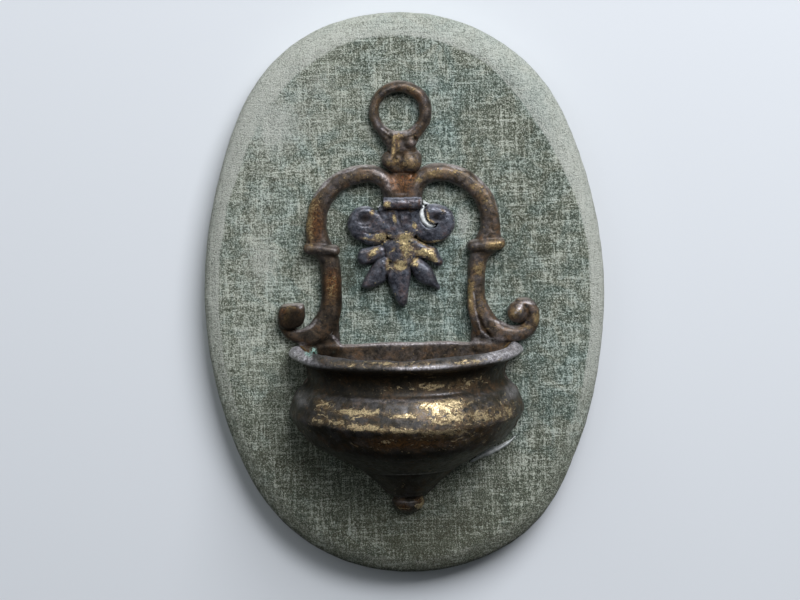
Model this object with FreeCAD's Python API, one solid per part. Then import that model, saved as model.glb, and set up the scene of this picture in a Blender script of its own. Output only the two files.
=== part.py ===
import FreeCAD, Part
import math
import os

# Wall-hung holy water stoup: a cast bronze scroll frame with a half-round bowl, mounted on an oval
# board covered with velvet.  Millimetres.  X is to the right, Z is up and the front faces -Y.
# The origin is the middle of the back, on the wall.  "Depth" is the distance in front of the wall,
# so a point at depth d has y = -d.  "Height" is z.

# ---- Oval panel ------------------------------------------------------------------------------
PANEL_WIDTH = 137.5
PANEL_HEIGHT = 194.0
PANEL_END_RADIUS = 61.0       # top and bottom arcs of the four-arc oval
PANEL_DEPTH = 13.8            # wall to velvet face
BEVEL_RUN = 6.5               # width of the front bevel, seen from the front
BEVEL_DROP = 4.0              # how far the bevel falls back
VELVET_THICK = 1.2
TURNOVER_WIDTH = 14.0         # velvet turned over on to the back
LINING_THICK = 0.5
LINING_LAP = 2.0              # lining laps this far over the turned velvet
CARD_GAP = 0.3                # between infill card and turned velvet

# ---- Tacks that hold the turned velvet -------------------------------------------------------
TACK_PITCH = 22.0
TACK_INSET = 7.0              # from the panel's edge
TACK_HEAD_RADIUS = 2.0
TACK_HEAD_THICK = 0.5
TACK_PROUD = 0.35             # of the turned velvet, still behind the lining's face
TACK_SHANK_RADIUS = 0.6
TACK_TIP_RADIUS = 0.1
TACK_SHANK_LENGTH = 7.0

# ---- Bowl, half a turned form against a flat back plate --------------------------------------
RIM_HEIGHT = -15.1            # top of the rim above the panel's middle
RIM_RADIUS = 39.9
LIP_HEIGHT = 2.8
LIP_WIDTH = 3.8               # rim's outer edge to the mouth
NECK_RADIUS = 33.6
NECK_TOP = 5.6                # depths below the rim, down to BOWL_FALL
NECK_FOOT = 11.0
SHOULDER_RADIUS = 36.2
SHOULDER_FALL = 13.2
BELLY_RADIUS = 40.3
BELLY_FALL = 22.2
BELLY_EDGE = 1.4              # height of the belly's upright edge
KEEL_RADIUS = 31.0            # where the underside turns in
KEEL_FALL = 34.9
LINE_RADIUS = 17.5            # turned line above the finial
LINE_FALL = 42.0
BOWL_FALL = 52.3              # rim to finial seat
SEAT_RADIUS = 6.8
BOWL_WALL = 2.6
PLATE_THICK = 2.5
SEAM_SIZE = 0.9               # brazed bead inside, bowl to back plate
COVE_BOW = 0.16               # rise over chord of each curve of the profile, hollow if positive
COLLAR_BOW = -0.10
SHOULDER_BOW = -0.08
UNDERSIDE_BOW = -0.10
KEEL_BOW = -0.03
FOOT_BOW = 0.10

# ---- Drop finial -----------------------------------------------------------------------------
FINIAL_RADIUS = 5.6
FINIAL_NECK_RADIUS = 4.9
FINIAL_LENGTH = 7.1
FINIAL_NECK_LENGTH = 2.1      # down to the widest place
FINIAL_CHEEK_RADIUS = 4.0     # partway round the drop
FINIAL_CHEEK_FALL = 5.7
FINIAL_TANG_RADIUS = 1.5
FINIAL_TANG_LENGTH = 6.0

# ---- Scroll frame ----------------------------------------------------------------------------
CAST_THICK = 4.7
CAST_ROUNDING = 1.3           # on the front edges
STEM_HALF_WIDTH = 6.6
SHOULDER_BEND = 17.0          # centre line radius of each shoulder
SHOULDER_HEIGHT = 41.0        # shoulder centre above the rim
ARM_WIDTH = 6.0
ARM_FLARE = 1.1               # extra width each side where the arm meets its collar
CROTCH_DROP = 2.5             # notch between the arms, below their crest
CROTCH_FILLET = 5.6           # under each arm, against the stem
ARM_FLAT = 0.2                # between that fillet and the shoulder's bend
COLLAR_HEIGHT = 33.1          # arm collar centre above the rim
COLLAR_TALL = 5.2
COLLAR_HALF_WIDTH = 6.2
COLLAR_STEP_IN = 1.4          # collar centre sits this far inside the arm's centre line
COLLAR_THICK = 5.9
LEG_WIDTH = 6.6
LEG_STEP_IN = 4.8             # leg centre line inside the arm's centre line
FOOT_BEND = 12.0              # centre line radius of the outward bend
FOOT_WIDTH = 6.3
SCROLL_RADIUS = 8.9           # outside of the foot scroll
SCROLL_EYE_RADIUS = 4.4
SCROLL_EYE_PROUD = 1.7        # eye stands this far in front of the frame
SCROLL_TOP_RADIUS = 6.0
WEB_REACH = 2.0               # web between leg and back plate, inside the leg's centre line
WEB_TALL = 9.1                # above the rim

# ---- Hanging ring with its knop, a casting pegged into the crotch -----------------------------
RING_RISE = 16.7              # ring centre above the knop centre
RING_OUTER_RADIUS = 10.4
RING_HOLE_RADIUS = 6.6
RING_THICK = 4.2
RING_LAND = 1.6               # cylindrical part of the hole's wall
NECK_HALF_WIDTH = 5.1
KNOP_LOBE_RADIUS = 3.7
KNOP_LOBE_OFFSET = 3.3
KNOP_BUD_RADIUS = 4.2
KNOP_PROUD = 2.0              # knop centres stand this far in front of the velvet
KNOP_RISE = 3.6               # knop centre above the crotch
DOWEL_RADIUS = 1.2
DOWEL_IN_KNOP = 4.6
DOWEL_SLACK = 0.02            # radial

# ---- Palmette --------------------------------------------------------------------------------
ROLL_DROP = 10.4              # binding roll centre below the crotch
ROLL_RADIUS = 2.2
ROLL_HALF_WIDTH = 6.7
LAP_THICK = 2.2               # stem behind the roll
PALMETTE_SHIFT = -0.9         # the ornament is set a little off centre
PALMETTE_THICK = 3.9
VOLUTE_RADIUS = 6.2
VOLUTE_OFFSET = 12.2
VOLUTE_DROP = 6.9             # volute centre below the roll centre
VOLUTE_EYE_RADIUS = 2.3
HEART_DROP = 16.5             # where the leaves meet, below the roll centre
HEART_RADIUS = 8.0
HEART_RISE = 5.0              # heart disc centre above the leaves' meeting point
LEAVES = ((0.0, 19.2, 7.4), (48.0, 17.8, 6.6), (77.0, 15.6, 6.0))   # turn, length and width
LEAF_CROWN = 4.6              # radius of a leaf's rounded front
RIVET_RADIUS = 1.1
RIVET_HEAD_RADIUS = 1.9
RIVET_HEAD_THICK = 0.7
RIVET_SLACK = 0.02

# ---- Screws from the back, through the board into the casting --------------------------------
SCREW_RADIUS = 1.5
SCREW_LENGTH = 12.0           # under the head
SCREW_GRIP = 3.4              # length inside the casting
SCREW_HEAD_RADIUS = 2.8
SCREW_HEAD_THICK = 1.8
SCREW_SLOT_WIDTH = 0.8
SCREW_SLOT_DEPTH = 0.9
SCREW_SLACK = 0.02            # radial, in the tapped hole
SCREW_BOARD_GAP = 0.25        # radial, in the board
SCREW_BLIND_GAP = 0.3         # past the screw's end
WASHER_RADIUS = 3.6
WASHER_THICK = 0.5
WASHER_GAP = 0.3
STEM_WALL = 0.7               # metal between the rivet, the screw and the dowel in the stem
FOOT_SCREW_HEIGHT = 5.0       # above the rim

# ---- Hanger in a pocket in the back ----------------------------------------------------------
HANGER_DROP = 31.0            # barrel axis below the panel's top
POCKET_DEPTH = 6.5
POCKET_ROOM = 2.0             # round the loop, in both of its positions
POCKET_CORNER = 4.0
LOOP_WIRE_RADIUS = 0.9
LOOP_HALF_WIDTH = 7.5         # wire centre line
LOOP_STRAIGHT = 2.5           # straight side between corner and bow
LOOP_CORNER = 2.0
HINGE_SLACK = 0.05            # radial, loop bar in its barrel
TAB_THICK = 0.8
TAB_HALF_WIDTH = 5.0
TAB_LENGTH = 10.5
NAIL_RADIUS = 0.6
NAIL_HEAD_RADIUS = 1.3
NAIL_HEAD_THICK = 0.5
NAIL_COVER = 1.4              # wood left in front of the nail's end
NAIL_DROP = 4.5               # first nail below the barrel axis
NAIL_PITCH = 3.6

# ---- Glue squeezed out under the castings ----------------------------------------------------
GLUE_WIDTH = 1.1
GLUE_PROUD = 0.8
GLUE_ARC_END = 120.0          # degrees round each volute, short of the stem

# ---- Worked out from the values above --------------------------------------------------------
HALF_WIDTH = PANEL_WIDTH / 2.0
HALF_HEIGHT = PANEL_HEIGHT / 2.0
SIDE_RADIUS = ((HALF_WIDTH ** 2 + HALF_HEIGHT ** 2 - 2.0 * HALF_HEIGHT * PANEL_END_RADIUS)
               / (2.0 * (HALF_WIDTH - PANEL_END_RADIUS)))
BOARD_BACK = LINING_THICK + VELVET_THICK
PLATE_FRONT = PANEL_DEPTH + PLATE_THICK
CAST_FRONT = PANEL_DEPTH + CAST_THICK
CAST_MIDDLE = PANEL_DEPTH + CAST_THICK / 2.0
SHOULDER_X = STEM_HALF_WIDTH + CROTCH_FILLET + ARM_FLAT
ARM_HALF_SPAN = SHOULDER_X + SHOULDER_BEND      # centre line of the upright part of each arm
SHOULDER_Z = RIM_HEIGHT + SHOULDER_HEIGHT
CREST_Z = SHOULDER_Z + SHOULDER_BEND + ARM_WIDTH / 2.0
CROTCH_Z = CREST_Z - CROTCH_DROP
COLLAR_Z = RIM_HEIGHT + COLLAR_HEIGHT
LEG_X = ARM_HALF_SPAN - LEG_STEP_IN
FOOT_X = LEG_X + FOOT_BEND
FOOT_Z = RIM_HEIGHT + FOOT_BEND + FOOT_WIDTH / 2.0
KNOP_Z = CROTCH_Z + KNOP_RISE
RING_Z = KNOP_Z + RING_RISE
ROLL_Z = CROTCH_Z - ROLL_DROP
HEART_Z = ROLL_Z - HEART_DROP
SEAT_Z = RIM_HEIGHT - BOWL_FALL
STEM_SCREW_Z = ROLL_Z + RIVET_HEAD_RADIUS + STEM_WALL + SCREW_RADIUS
DOWEL_FOOT_Z = STEM_SCREW_Z + SCREW_RADIUS + STEM_WALL
DOWEL_TOP_Z = KNOP_Z - KNOP_BUD_RADIUS + DOWEL_IN_KNOP
SCREW_POINTS = ((0.0, STEM_SCREW_Z),
                (-LEG_X - SCREW_RADIUS, RIM_HEIGHT + FOOT_SCREW_HEIGHT),
                (LEG_X + SCREW_RADIUS, RIM_HEIGHT + FOOT_SCREW_HEIGHT))
HEAD_SEAT = PANEL_DEPTH + SCREW_GRIP - SCREW_LENGTH
WASHER_SEAT = HEAD_SEAT + WASHER_THICK
HANGER_HEIGHT = HALF_HEIGHT - HANGER_DROP
BARREL_RADIUS = LOOP_WIRE_RADIUS + HINGE_SLACK + TAB_THICK
BARREL_DEPTH = POCKET_DEPTH - BARREL_RADIUS
LOOP_REACH = LOOP_CORNER + LOOP_STRAIGHT + LOOP_HALF_WIDTH + LOOP_WIRE_RADIUS
POCKET_HALF_WIDTH = LOOP_HALF_WIDTH + LOOP_WIRE_RADIUS + POCKET_ROOM
POCKET_HALF_HEIGHT = LOOP_REACH + POCKET_ROOM

FRONT = FreeCAD.Vector(0, -1, 0)
UP = FreeCAD.Vector(0, 0, 1)
DOWN = FreeCAD.Vector(0, 0, -1)
RIGHT = FreeCAD.Vector(1, 0, 0)


# ---- Helpers ---------------------------------------------------------------------------------
def at(x, depth, z):
    """Point at x, at a depth in front of the wall, at height z."""
    return FreeCAD.Vector(x, -depth, z)


def forward(face, length):
    """Solid made by pushing a flat face towards the front."""
    return face.extrude(FRONT * length)


def block(x_low, x_high, depth_low, depth_high, z_low, z_high):
    """Box between two corners."""
    corner = at(x_low, depth_high, z_low)
    return Part.makeBox(x_high - x_low, depth_high - depth_low, z_high - z_low, corner)


def rod(x, z, radius, depth_low, depth_high):
    """Round bar that runs from back to front."""
    return Part.makeCylinder(radius, depth_high - depth_low, at(x, depth_low, z), FRONT)


def ball(x, depth, z, radius):
    """Sphere, cut off flat where it meets the velvet."""
    solid = Part.makeSphere(radius, at(x, depth, z))
    behind = block(x - 2 * radius, x + 2 * radius, PANEL_DEPTH - 3 * radius, PANEL_DEPTH,
                   z - 2 * radius, z + 2 * radius)
    return solid.cut(behind)


def polar(x, z, radius, degrees, depth):
    """Point on a circle round (x, z); zero degrees is to the right and 90 is up."""
    angle = math.radians(degrees)
    return at(x + radius * math.cos(angle), depth, z + radius * math.sin(angle))


def arc(x, z, radius, start, end, depth):
    """Arc edge round (x, z) between two angles in degrees."""
    points = [polar(x, z, radius, angle, depth) for angle in (start, (start + end) / 2.0, end)]
    return Part.Arc(*points).toShape()


def line(start, end):
    """Straight edge."""
    return Part.LineSegment(start, end).toShape()


def face(edges):
    """Flat face inside a closed run of edges."""
    return Part.Face(Part.Wire(edges))


def round_front(solid, depth, radius, hidden_x=(), hidden_z=()):
    """Round the edges that lie flat at a depth, but not those along a hidden x or height."""
    edges = []
    for edge in solid.Edges:
        box = edge.BoundBox
        flat = abs(box.YMin + depth) < 1e-4 and abs(box.YMax + depth) < 1e-4
        joined = any(box.XLength < 1e-4 and abs(box.XMin - x) < 1e-4 for x in hidden_x)
        joined = joined or any(box.ZLength < 1e-4 and abs(box.ZMin - z) < 1e-4 for z in hidden_z)
        if flat and not joined:
            edges.append(edge)
    return solid.makeFillet(radius, edges)


def mirrored(solid):
    """Copy on the other side of the middle plane."""
    return solid.mirror(FreeCAD.Vector(0, 0, 0), RIGHT)


def group(solids):
    """Separate solids kept in one part."""
    return Part.makeCompound(solids)


# ---- Panel -----------------------------------------------------------------------------------
def oval_wire(inset, depth):
    """Four-arc oval, moved in from the panel's edge."""
    end_z = HALF_HEIGHT - PANEL_END_RADIUS
    side_x = SIDE_RADIUS - HALF_WIDTH
    lean = math.degrees(math.atan2(end_z, side_x))
    end_radius = PANEL_END_RADIUS - inset
    side_radius = SIDE_RADIUS - inset
    return Part.Wire([
        arc(0, end_z, end_radius, lean, 180 - lean, depth),
        arc(side_x, 0, side_radius, 180 - lean, 180 + lean, depth),
        arc(0, -end_z, end_radius, 180 + lean, 360 - lean, depth),
        arc(-side_x, 0, side_radius, -lean, lean, depth)])


def oval_slab(inset, depth_low, depth_high):
    """Flat oval plate."""
    return forward(Part.Face(oval_wire(inset, depth_low)), depth_high - depth_low)


def bevelled_oval(offset, depth_low):
    """Panel shape, moved in everywhere by an offset, with its front bevel."""
    slope = BEVEL_DROP / BEVEL_RUN
    shift = offset * math.hypot(BEVEL_RUN, BEVEL_DROP) / BEVEL_RUN
    side_depth = PANEL_DEPTH - BEVEL_DROP + slope * offset - shift
    front_depth = PANEL_DEPTH - offset
    front_inset = (BEVEL_DROP - offset + shift) / slope
    slab = oval_slab(offset, depth_low, side_depth)
    bevel = Part.makeLoft([oval_wire(offset, side_depth), oval_wire(front_inset, front_depth)], True, True)
    return slab.fuse(bevel).removeSplitter()


def pocket(depth_low, depth_high):
    """Rounded recess for the hanger."""
    recess = block(-POCKET_HALF_WIDTH, POCKET_HALF_WIDTH, depth_low, depth_high,
                   HANGER_HEIGHT - POCKET_HALF_HEIGHT, HANGER_HEIGHT + POCKET_HALF_HEIGHT)
    corners = [edge for edge in recess.Edges
               if edge.BoundBox.XLength < 1e-6 and edge.BoundBox.ZLength < 1e-6]
    return recess.makeFillet(POCKET_CORNER, corners)


def make_oval_board():
    board = bevelled_oval(VELVET_THICK, BOARD_BACK)
    board = board.cut(pocket(0, POCKET_DEPTH))
    for x, z in SCREW_POINTS:
        board = board.cut(rod(x, z, WASHER_RADIUS + WASHER_GAP, 0, WASHER_SEAT))
        board = board.cut(rod(x, z, SCREW_RADIUS + SCREW_BOARD_GAP, 0, PANEL_DEPTH))
    for x, z in tack_points():
        board = board.cut(tack(x, z))
    return board.cut(hanger_nail_solids())


def make_velvet_cover():
    cover = bevelled_oval(0, LINING_THICK).cut(bevelled_oval(VELVET_THICK, BOARD_BACK))
    cover = cover.cut(oval_slab(TURNOVER_WIDTH, 0, BOARD_BACK))
    for x, z in SCREW_POINTS:
        cover = cover.cut(rod(x, z, SCREW_RADIUS + SCREW_BOARD_GAP, BOARD_BACK, PANEL_DEPTH))
    for x, z in tack_points():
        cover = cover.cut(tack(x, z))
    return cover


def make_infill_card():
    return oval_slab(TURNOVER_WIDTH + CARD_GAP, LINING_THICK, BOARD_BACK).cut(pocket(0, POCKET_DEPTH))


def make_back_lining():
    return oval_slab(TURNOVER_WIDTH - LINING_LAP, 0, LINING_THICK).cut(pocket(0, POCKET_DEPTH))


# ---- Tacks, screws and washers ---------------------------------------------------------------
def tack_points():
    """Places of the tacks, evenly spaced round the back."""
    path = oval_wire(TACK_INSET, 0)
    count = int(round(path.Length / TACK_PITCH))
    return [(point.x, point.z) for point in path.discretize(Number=count + 1)[:-1]]


def tack(x, z):
    head_back = LINING_THICK - TACK_PROUD
    head_front = head_back + TACK_HEAD_THICK
    head = rod(x, z, TACK_HEAD_RADIUS, head_back, head_front)
    shank = Part.makeCone(TACK_SHANK_RADIUS, TACK_TIP_RADIUS, TACK_SHANK_LENGTH,
                          at(x, head_front, z), FRONT)
    return head.fuse(shank)


def make_velvet_tacks():
    return group([tack(x, z) for x, z in tack_points()])


def mounting_screw(x, z):
    shank = rod(x, z, SCREW_RADIUS, HEAD_SEAT, HEAD_SEAT + SCREW_LENGTH)
    head = rod(x, z, SCREW_HEAD_RADIUS, HEAD_SEAT - SCREW_HEAD_THICK, HEAD_SEAT)
    slot_back = HEAD_SEAT - SCREW_HEAD_THICK
    slot = block(x - SCREW_HEAD_RADIUS, x + SCREW_HEAD_RADIUS, slot_back, slot_back + SCREW_SLOT_DEPTH,
                 z - SCREW_SLOT_WIDTH / 2, z + SCREW_SLOT_WIDTH / 2)
    return head.fuse(shank).cut(slot)


def make_mounting_screws():
    return group([mounting_screw(x, z) for x, z in SCREW_POINTS])


def screw_washer(x, z):
    disc = rod(x, z, WASHER_RADIUS, HEAD_SEAT, WASHER_SEAT)
    return disc.cut(rod(x, z, SCREW_RADIUS + SCREW_BOARD_GAP, HEAD_SEAT, WASHER_SEAT))


def make_screw_washers():
    return group([screw_washer(x, z) for x, z in SCREW_POINTS])


def tapped_holes():
    """Blind holes in the back of the casting for the screws."""
    end = PANEL_DEPTH + SCREW_GRIP + SCREW_BLIND_GAP
    return group([rod(x, z, SCREW_RADIUS + SCREW_SLACK, PANEL_DEPTH, end) for x, z in SCREW_POINTS])


# ---- Bowl ------------------------------------------------------------------------------------
def bowl_edges(inset):
    """Side profile of the bowl from rim to bottom, moved in by a wall; axis on the velvet face."""
    def point(radius, fall):
        return at(radius - inset, PANEL_DEPTH, RIM_HEIGHT - fall)

    rim_bulge = LIP_HEIGHT / 2.0
    lip_top = point(RIM_RADIUS - rim_bulge / 2.0, 0)
    lip_side = point(RIM_RADIUS, rim_bulge)
    lip_foot = point(RIM_RADIUS - rim_bulge / 2.0, LIP_HEIGHT)
    neck_top = point(NECK_RADIUS, NECK_TOP)
    neck_foot = point(NECK_RADIUS, NECK_FOOT)
    shoulder = point(SHOULDER_RADIUS, SHOULDER_FALL)
    belly_top = point(BELLY_RADIUS, BELLY_FALL)
    belly_foot = point(BELLY_RADIUS, BELLY_FALL + BELLY_EDGE)
    keel = point(KEEL_RADIUS, KEEL_FALL)
    line_side = point(LINE_RADIUS, LINE_FALL)
    return [Part.Arc(lip_top, lip_side, lip_foot).toShape(),
            bowed(lip_foot, neck_top, COVE_BOW),
            line(neck_top, neck_foot),
            bowed(neck_foot, shoulder, COLLAR_BOW),
            bowed(shoulder, belly_top, SHOULDER_BOW),
            line(belly_top, belly_foot),
            bowed(belly_foot, keel, UNDERSIDE_BOW),
            bowed(keel, line_side, KEEL_BOW)]


def bowed(start, end, bow):
    """Arc between two points of a profile; bow is its rise over its chord, hollow if positive."""
    chord = end - start
    across = FreeCAD.Vector(chord.z, 0, -chord.x)
    middle = (start + end) * 0.5 + across * bow
    return Part.Arc(start, middle, end).toShape()


def turned(edges, foot_edges):
    """Half-turned solid inside a profile that ends at the given foot edges."""
    top = edges[0].Vertexes[0].Point
    axis_top = at(0, PANEL_DEPTH, top.z)
    axis_foot = at(0, PANEL_DEPTH, foot_edges[-1].Vertexes[-1].Point.z)
    outline = edges + foot_edges + [line(foot_edges[-1].Vertexes[-1].Point, axis_foot),
                                    line(axis_foot, axis_top), line(axis_top, top)]
    return face(outline).revolve(at(0, PANEL_DEPTH, 0), DOWN, 180)


def bowl_outside():
    edges = bowl_edges(0)
    foot = bowed(edges[-1].Vertexes[-1].Point, at(SEAT_RADIUS, PANEL_DEPTH, SEAT_Z), FOOT_BOW)
    return turned(edges, [foot])


def bowl_inside(wall):
    """Space in the bowl, with its walls moved in by a wall thickness."""
    mouth = at(RIM_RADIUS - LIP_WIDTH - wall + BOWL_WALL, PANEL_DEPTH, RIM_HEIGHT)
    edges = bowl_edges(wall)[2:]
    edges.insert(0, line(mouth, edges[0].Vertexes[0].Point))
    floor = edges[-1].Vertexes[-1].Point
    edges[-1] = line(edges[-1].Vertexes[0].Point, floor + UP * wall)
    return turned(edges[:-1], [edges[-1]])


def plate_slab(depth_low, depth_high):
    """Slab as tall and wide as the bowl."""
    reach = max(RIM_RADIUS, BELLY_RADIUS) + 1.0
    return block(-reach, reach, depth_low, depth_high, SEAT_Z - 1.0, RIM_HEIGHT + 1.0)


def finial_tang(slack):
    """Peg on the finial, up between bowl and back plate."""
    return Part.makeCylinder(FINIAL_TANG_RADIUS + slack, FINIAL_TANG_LENGTH + slack,
                             at(0, PLATE_FRONT, SEAT_Z), UP)


def make_bowl_shell():
    shell = bowl_outside().cut(bowl_inside(BOWL_WALL))
    shell = shell.cut(plate_slab(PANEL_DEPTH - 1.0, PLATE_FRONT))
    return shell.cut(finial_tang(DOWEL_SLACK))


def make_brazed_seam():
    bead = bowl_inside(BOWL_WALL).cut(bowl_inside(BOWL_WALL + SEAM_SIZE))
    return bead.common(plate_slab(PLATE_FRONT, PLATE_FRONT + SEAM_SIZE))


def make_drop_finial():
    neck = at(FINIAL_NECK_RADIUS, PANEL_DEPTH, SEAT_Z)
    waist = at(FINIAL_RADIUS, PANEL_DEPTH, SEAT_Z - FINIAL_NECK_LENGTH)
    cheek = at(FINIAL_CHEEK_RADIUS, PANEL_DEPTH, SEAT_Z - FINIAL_CHEEK_FALL)
    tip = at(0, PANEL_DEPTH, SEAT_Z - FINIAL_LENGTH)
    outline = [line(neck, waist), Part.Arc(waist, cheek, tip).toShape(),
               line(tip, at(0, PANEL_DEPTH, SEAT_Z)), line(at(0, PANEL_DEPTH, SEAT_Z), neck)]
    drop = face(outline).revolve(at(0, PANEL_DEPTH, 0), DOWN, 180)
    return drop.fuse(finial_tang(0))


# ---- Scroll frame ----------------------------------------------------------------------------
def arm():
    """Right arm from the crotch over the shoulder to its collar."""
    depth = PANEL_DEPTH
    half = ARM_WIDTH / 2.0
    outer = SHOULDER_BEND + half
    inner = SHOULDER_BEND - half
    crotch = at(0, depth, CROTCH_Z)
    crest = at(SHOULDER_X, depth, CREST_Z)
    rise = at(SHOULDER_X / 2.0, depth, CREST_Z - CROTCH_DROP / 4.0)
    under = SHOULDER_Z + inner
    fillet_x = STEM_HALF_WIDTH + CROTCH_FILLET
    fillet_z = under - CROTCH_FILLET
    stem_foot = at(0, depth, ROLL_Z)
    flare_out = at(SHOULDER_X + outer + ARM_FLARE, depth, COLLAR_Z)
    flare_in = at(SHOULDER_X + inner - ARM_FLARE, depth, COLLAR_Z)
    outline = [
        Part.Arc(crotch, rise, crest).toShape(),
        arc(SHOULDER_X, SHOULDER_Z, outer, 90, 0, depth),
        line(at(SHOULDER_X + outer, depth, SHOULDER_Z), flare_out),
        line(flare_out, flare_in),
        line(flare_in, at(SHOULDER_X + inner, depth, SHOULDER_Z)),
        arc(SHOULDER_X, SHOULDER_Z, inner, 0, 90, depth),
        line(at(SHOULDER_X, depth, under), at(fillet_x, depth, under)),
        arc(fillet_x, fillet_z, CROTCH_FILLET, 90, 180, depth),
        line(at(STEM_HALF_WIDTH, depth, fillet_z), at(STEM_HALF_WIDTH, depth, ROLL_Z)),
        line(at(STEM_HALF_WIDTH, depth, ROLL_Z), stem_foot),
        line(stem_foot, crotch)]
    return forward(face([edge for edge in outline if edge.Length > 1e-6]), CAST_THICK)


def arm_collar():
    """Raised collar across the arm, with rounded ends."""
    x = ARM_HALF_SPAN - COLLAR_STEP_IN
    half = COLLAR_TALL / 2.0
    body = block(x - COLLAR_HALF_WIDTH + half, x + COLLAR_HALF_WIDTH - half, PANEL_DEPTH,
                 PANEL_DEPTH + COLLAR_THICK, COLLAR_Z - half, COLLAR_Z + half)
    for side in (-1, 1):
        end_x = x + side * (COLLAR_HALF_WIDTH - half)
        body = body.fuse(rod(end_x, COLLAR_Z, half, PANEL_DEPTH, PANEL_DEPTH + COLLAR_THICK))
    return round_front(body.removeSplitter(), PANEL_DEPTH + COLLAR_THICK, CAST_ROUNDING)


def leg():
    """Right leg from its collar down and outwards to the foot scroll."""
    depth = PANEL_DEPTH
    half = LEG_WIDTH / 2.0
    inner = FOOT_BEND - FOOT_WIDTH / 2.0
    outer = FOOT_BEND + FOOT_WIDTH / 2.0
    outline = [
        line(at(LEG_X - half, depth, COLLAR_Z), at(LEG_X + half, depth, COLLAR_Z)),
        line(at(LEG_X + half, depth, COLLAR_Z), at(FOOT_X - inner, depth, FOOT_Z)),
        arc(FOOT_X, FOOT_Z, inner, 180, 270, depth),
        line(at(FOOT_X, depth, FOOT_Z - inner), at(FOOT_X, depth, FOOT_Z - outer)),
        arc(FOOT_X, FOOT_Z, outer, 270, 180, depth),
        line(at(FOOT_X - outer, depth, FOOT_Z), at(LEG_X - half, depth, COLLAR_Z))]
    return forward(face(outline), CAST_THICK)


def foot_scroll():
    """Spiral end of the foot, three arcs that grow tighter, with a raised eye."""
    depth = PANEL_DEPTH
    base = FOOT_Z - FOOT_BEND - FOOT_WIDTH / 2.0
    first_z = base + SCROLL_RADIUS
    second_x = FOOT_X + SCROLL_RADIUS - SCROLL_TOP_RADIUS
    eye_x = second_x
    eye_z = first_z + SCROLL_TOP_RADIUS - SCROLL_EYE_RADIUS
    outline = [
        arc(FOOT_X, first_z, SCROLL_RADIUS, 270, 360, depth),
        arc(second_x, first_z, SCROLL_TOP_RADIUS, 0, 90, depth),
        arc(eye_x, eye_z, SCROLL_EYE_RADIUS, 90, 225, depth),
        line(polar(eye_x, eye_z, SCROLL_EYE_RADIUS, 225, depth), at(FOOT_X, depth, base))]
    scroll = forward(face(outline), CAST_THICK)
    eye = ball(eye_x, CAST_FRONT + SCROLL_EYE_PROUD - SCROLL_EYE_RADIUS, eye_z, SCROLL_EYE_RADIUS)
    return scroll, eye


def back_plate():
    """Flat back of the bowl, with webs up to the legs."""
    plate = bowl_outside().common(plate_slab(PANEL_DEPTH, PLATE_FRONT))
    web = block(LEG_X - WEB_REACH, FOOT_X, PANEL_DEPTH, PLATE_FRONT,
                RIM_HEIGHT - LIP_HEIGHT / 2.0, RIM_HEIGHT + WEB_TALL)
    open_side = rod(FOOT_X, FOOT_Z, FOOT_BEND, PANEL_DEPTH, PLATE_FRONT)
    web = web.cut(open_side)
    return plate.fuse(web).fuse(mirrored(web))


def lap_space(depth_low, depth_high):
    """Room across the stem at the height of the palmette's roll."""
    return block(-ARM_HALF_SPAN / 2, ARM_HALF_SPAN / 2, depth_low, depth_high,
                 ROLL_Z - ROLL_RADIUS, ROLL_Z + ROLL_RADIUS)


def make_scroll_frame():
    right_arm = round_front(arm(), CAST_FRONT, CAST_ROUNDING, hidden_x=[0], hidden_z=[ROLL_Z, COLLAR_Z])
    scroll, eye = foot_scroll()
    foot = leg().fuse(scroll).removeSplitter()
    foot = round_front(foot, CAST_FRONT, CAST_ROUNDING, hidden_z=[COLLAR_Z])
    side = right_arm.fuse([foot, eye, arm_collar()])
    frame = side.fuse([mirrored(side), back_plate()])
    lap = lap_space(PANEL_DEPTH + LAP_THICK, CAST_FRONT + CAST_THICK)
    tongue = block(-STEM_HALF_WIDTH, STEM_HALF_WIDTH, PANEL_DEPTH, PANEL_DEPTH + LAP_THICK,
                   ROLL_Z - ROLL_RADIUS, ROLL_Z)
    frame = frame.cut(lap).fuse(tongue)
    frame = frame.cut(ring_casting()).cut(dowel(DOWEL_SLACK)).cut(tapped_holes())
    frame = frame.cut(finial_tang(DOWEL_SLACK)).cut(palmette_rivet(RIVET_SLACK))
    return frame.removeSplitter()


# ---- Hanging ring ----------------------------------------------------------------------------
def ring_eye():
    """Round-edged ring with a cylindrical land in its hole."""
    middle = PANEL_DEPTH + RING_THICK / 2.0
    inner_low = at(RING_HOLE_RADIUS, middle - RING_LAND / 2.0, RING_Z)
    inner_high = at(RING_HOLE_RADIUS, middle + RING_LAND / 2.0, RING_Z)
    crown_x = (RING_HOLE_RADIUS + RING_OUTER_RADIUS) / 2.0
    crown_low = at(crown_x, PANEL_DEPTH, RING_Z)
    crown_high = at(crown_x, PANEL_DEPTH + RING_THICK, RING_Z)
    section = face([line(inner_low, inner_high),
                    line(inner_high, crown_high),
                    Part.Arc(crown_high, at(RING_OUTER_RADIUS, middle, RING_Z), crown_low).toShape(),
                    line(crown_low, inner_low)])
    return section.revolve(at(0, 0, RING_Z), FRONT, 360)


def ring_neck():
    """Waisted neck between ring and knop."""
    top = RING_Z - RING_OUTER_RADIUS + (RING_OUTER_RADIUS - RING_HOLE_RADIUS) / 2.0
    solid = block(-NECK_HALF_WIDTH, NECK_HALF_WIDTH, PANEL_DEPTH, PANEL_DEPTH + RING_THICK, KNOP_Z, top)
    fronts = [edge for edge in solid.Edges if abs(edge.BoundBox.YMax + PANEL_DEPTH + RING_THICK) < 1e-4
              and edge.BoundBox.XLength < 1e-6]
    return solid.makeFillet(CAST_ROUNDING, fronts)


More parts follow.
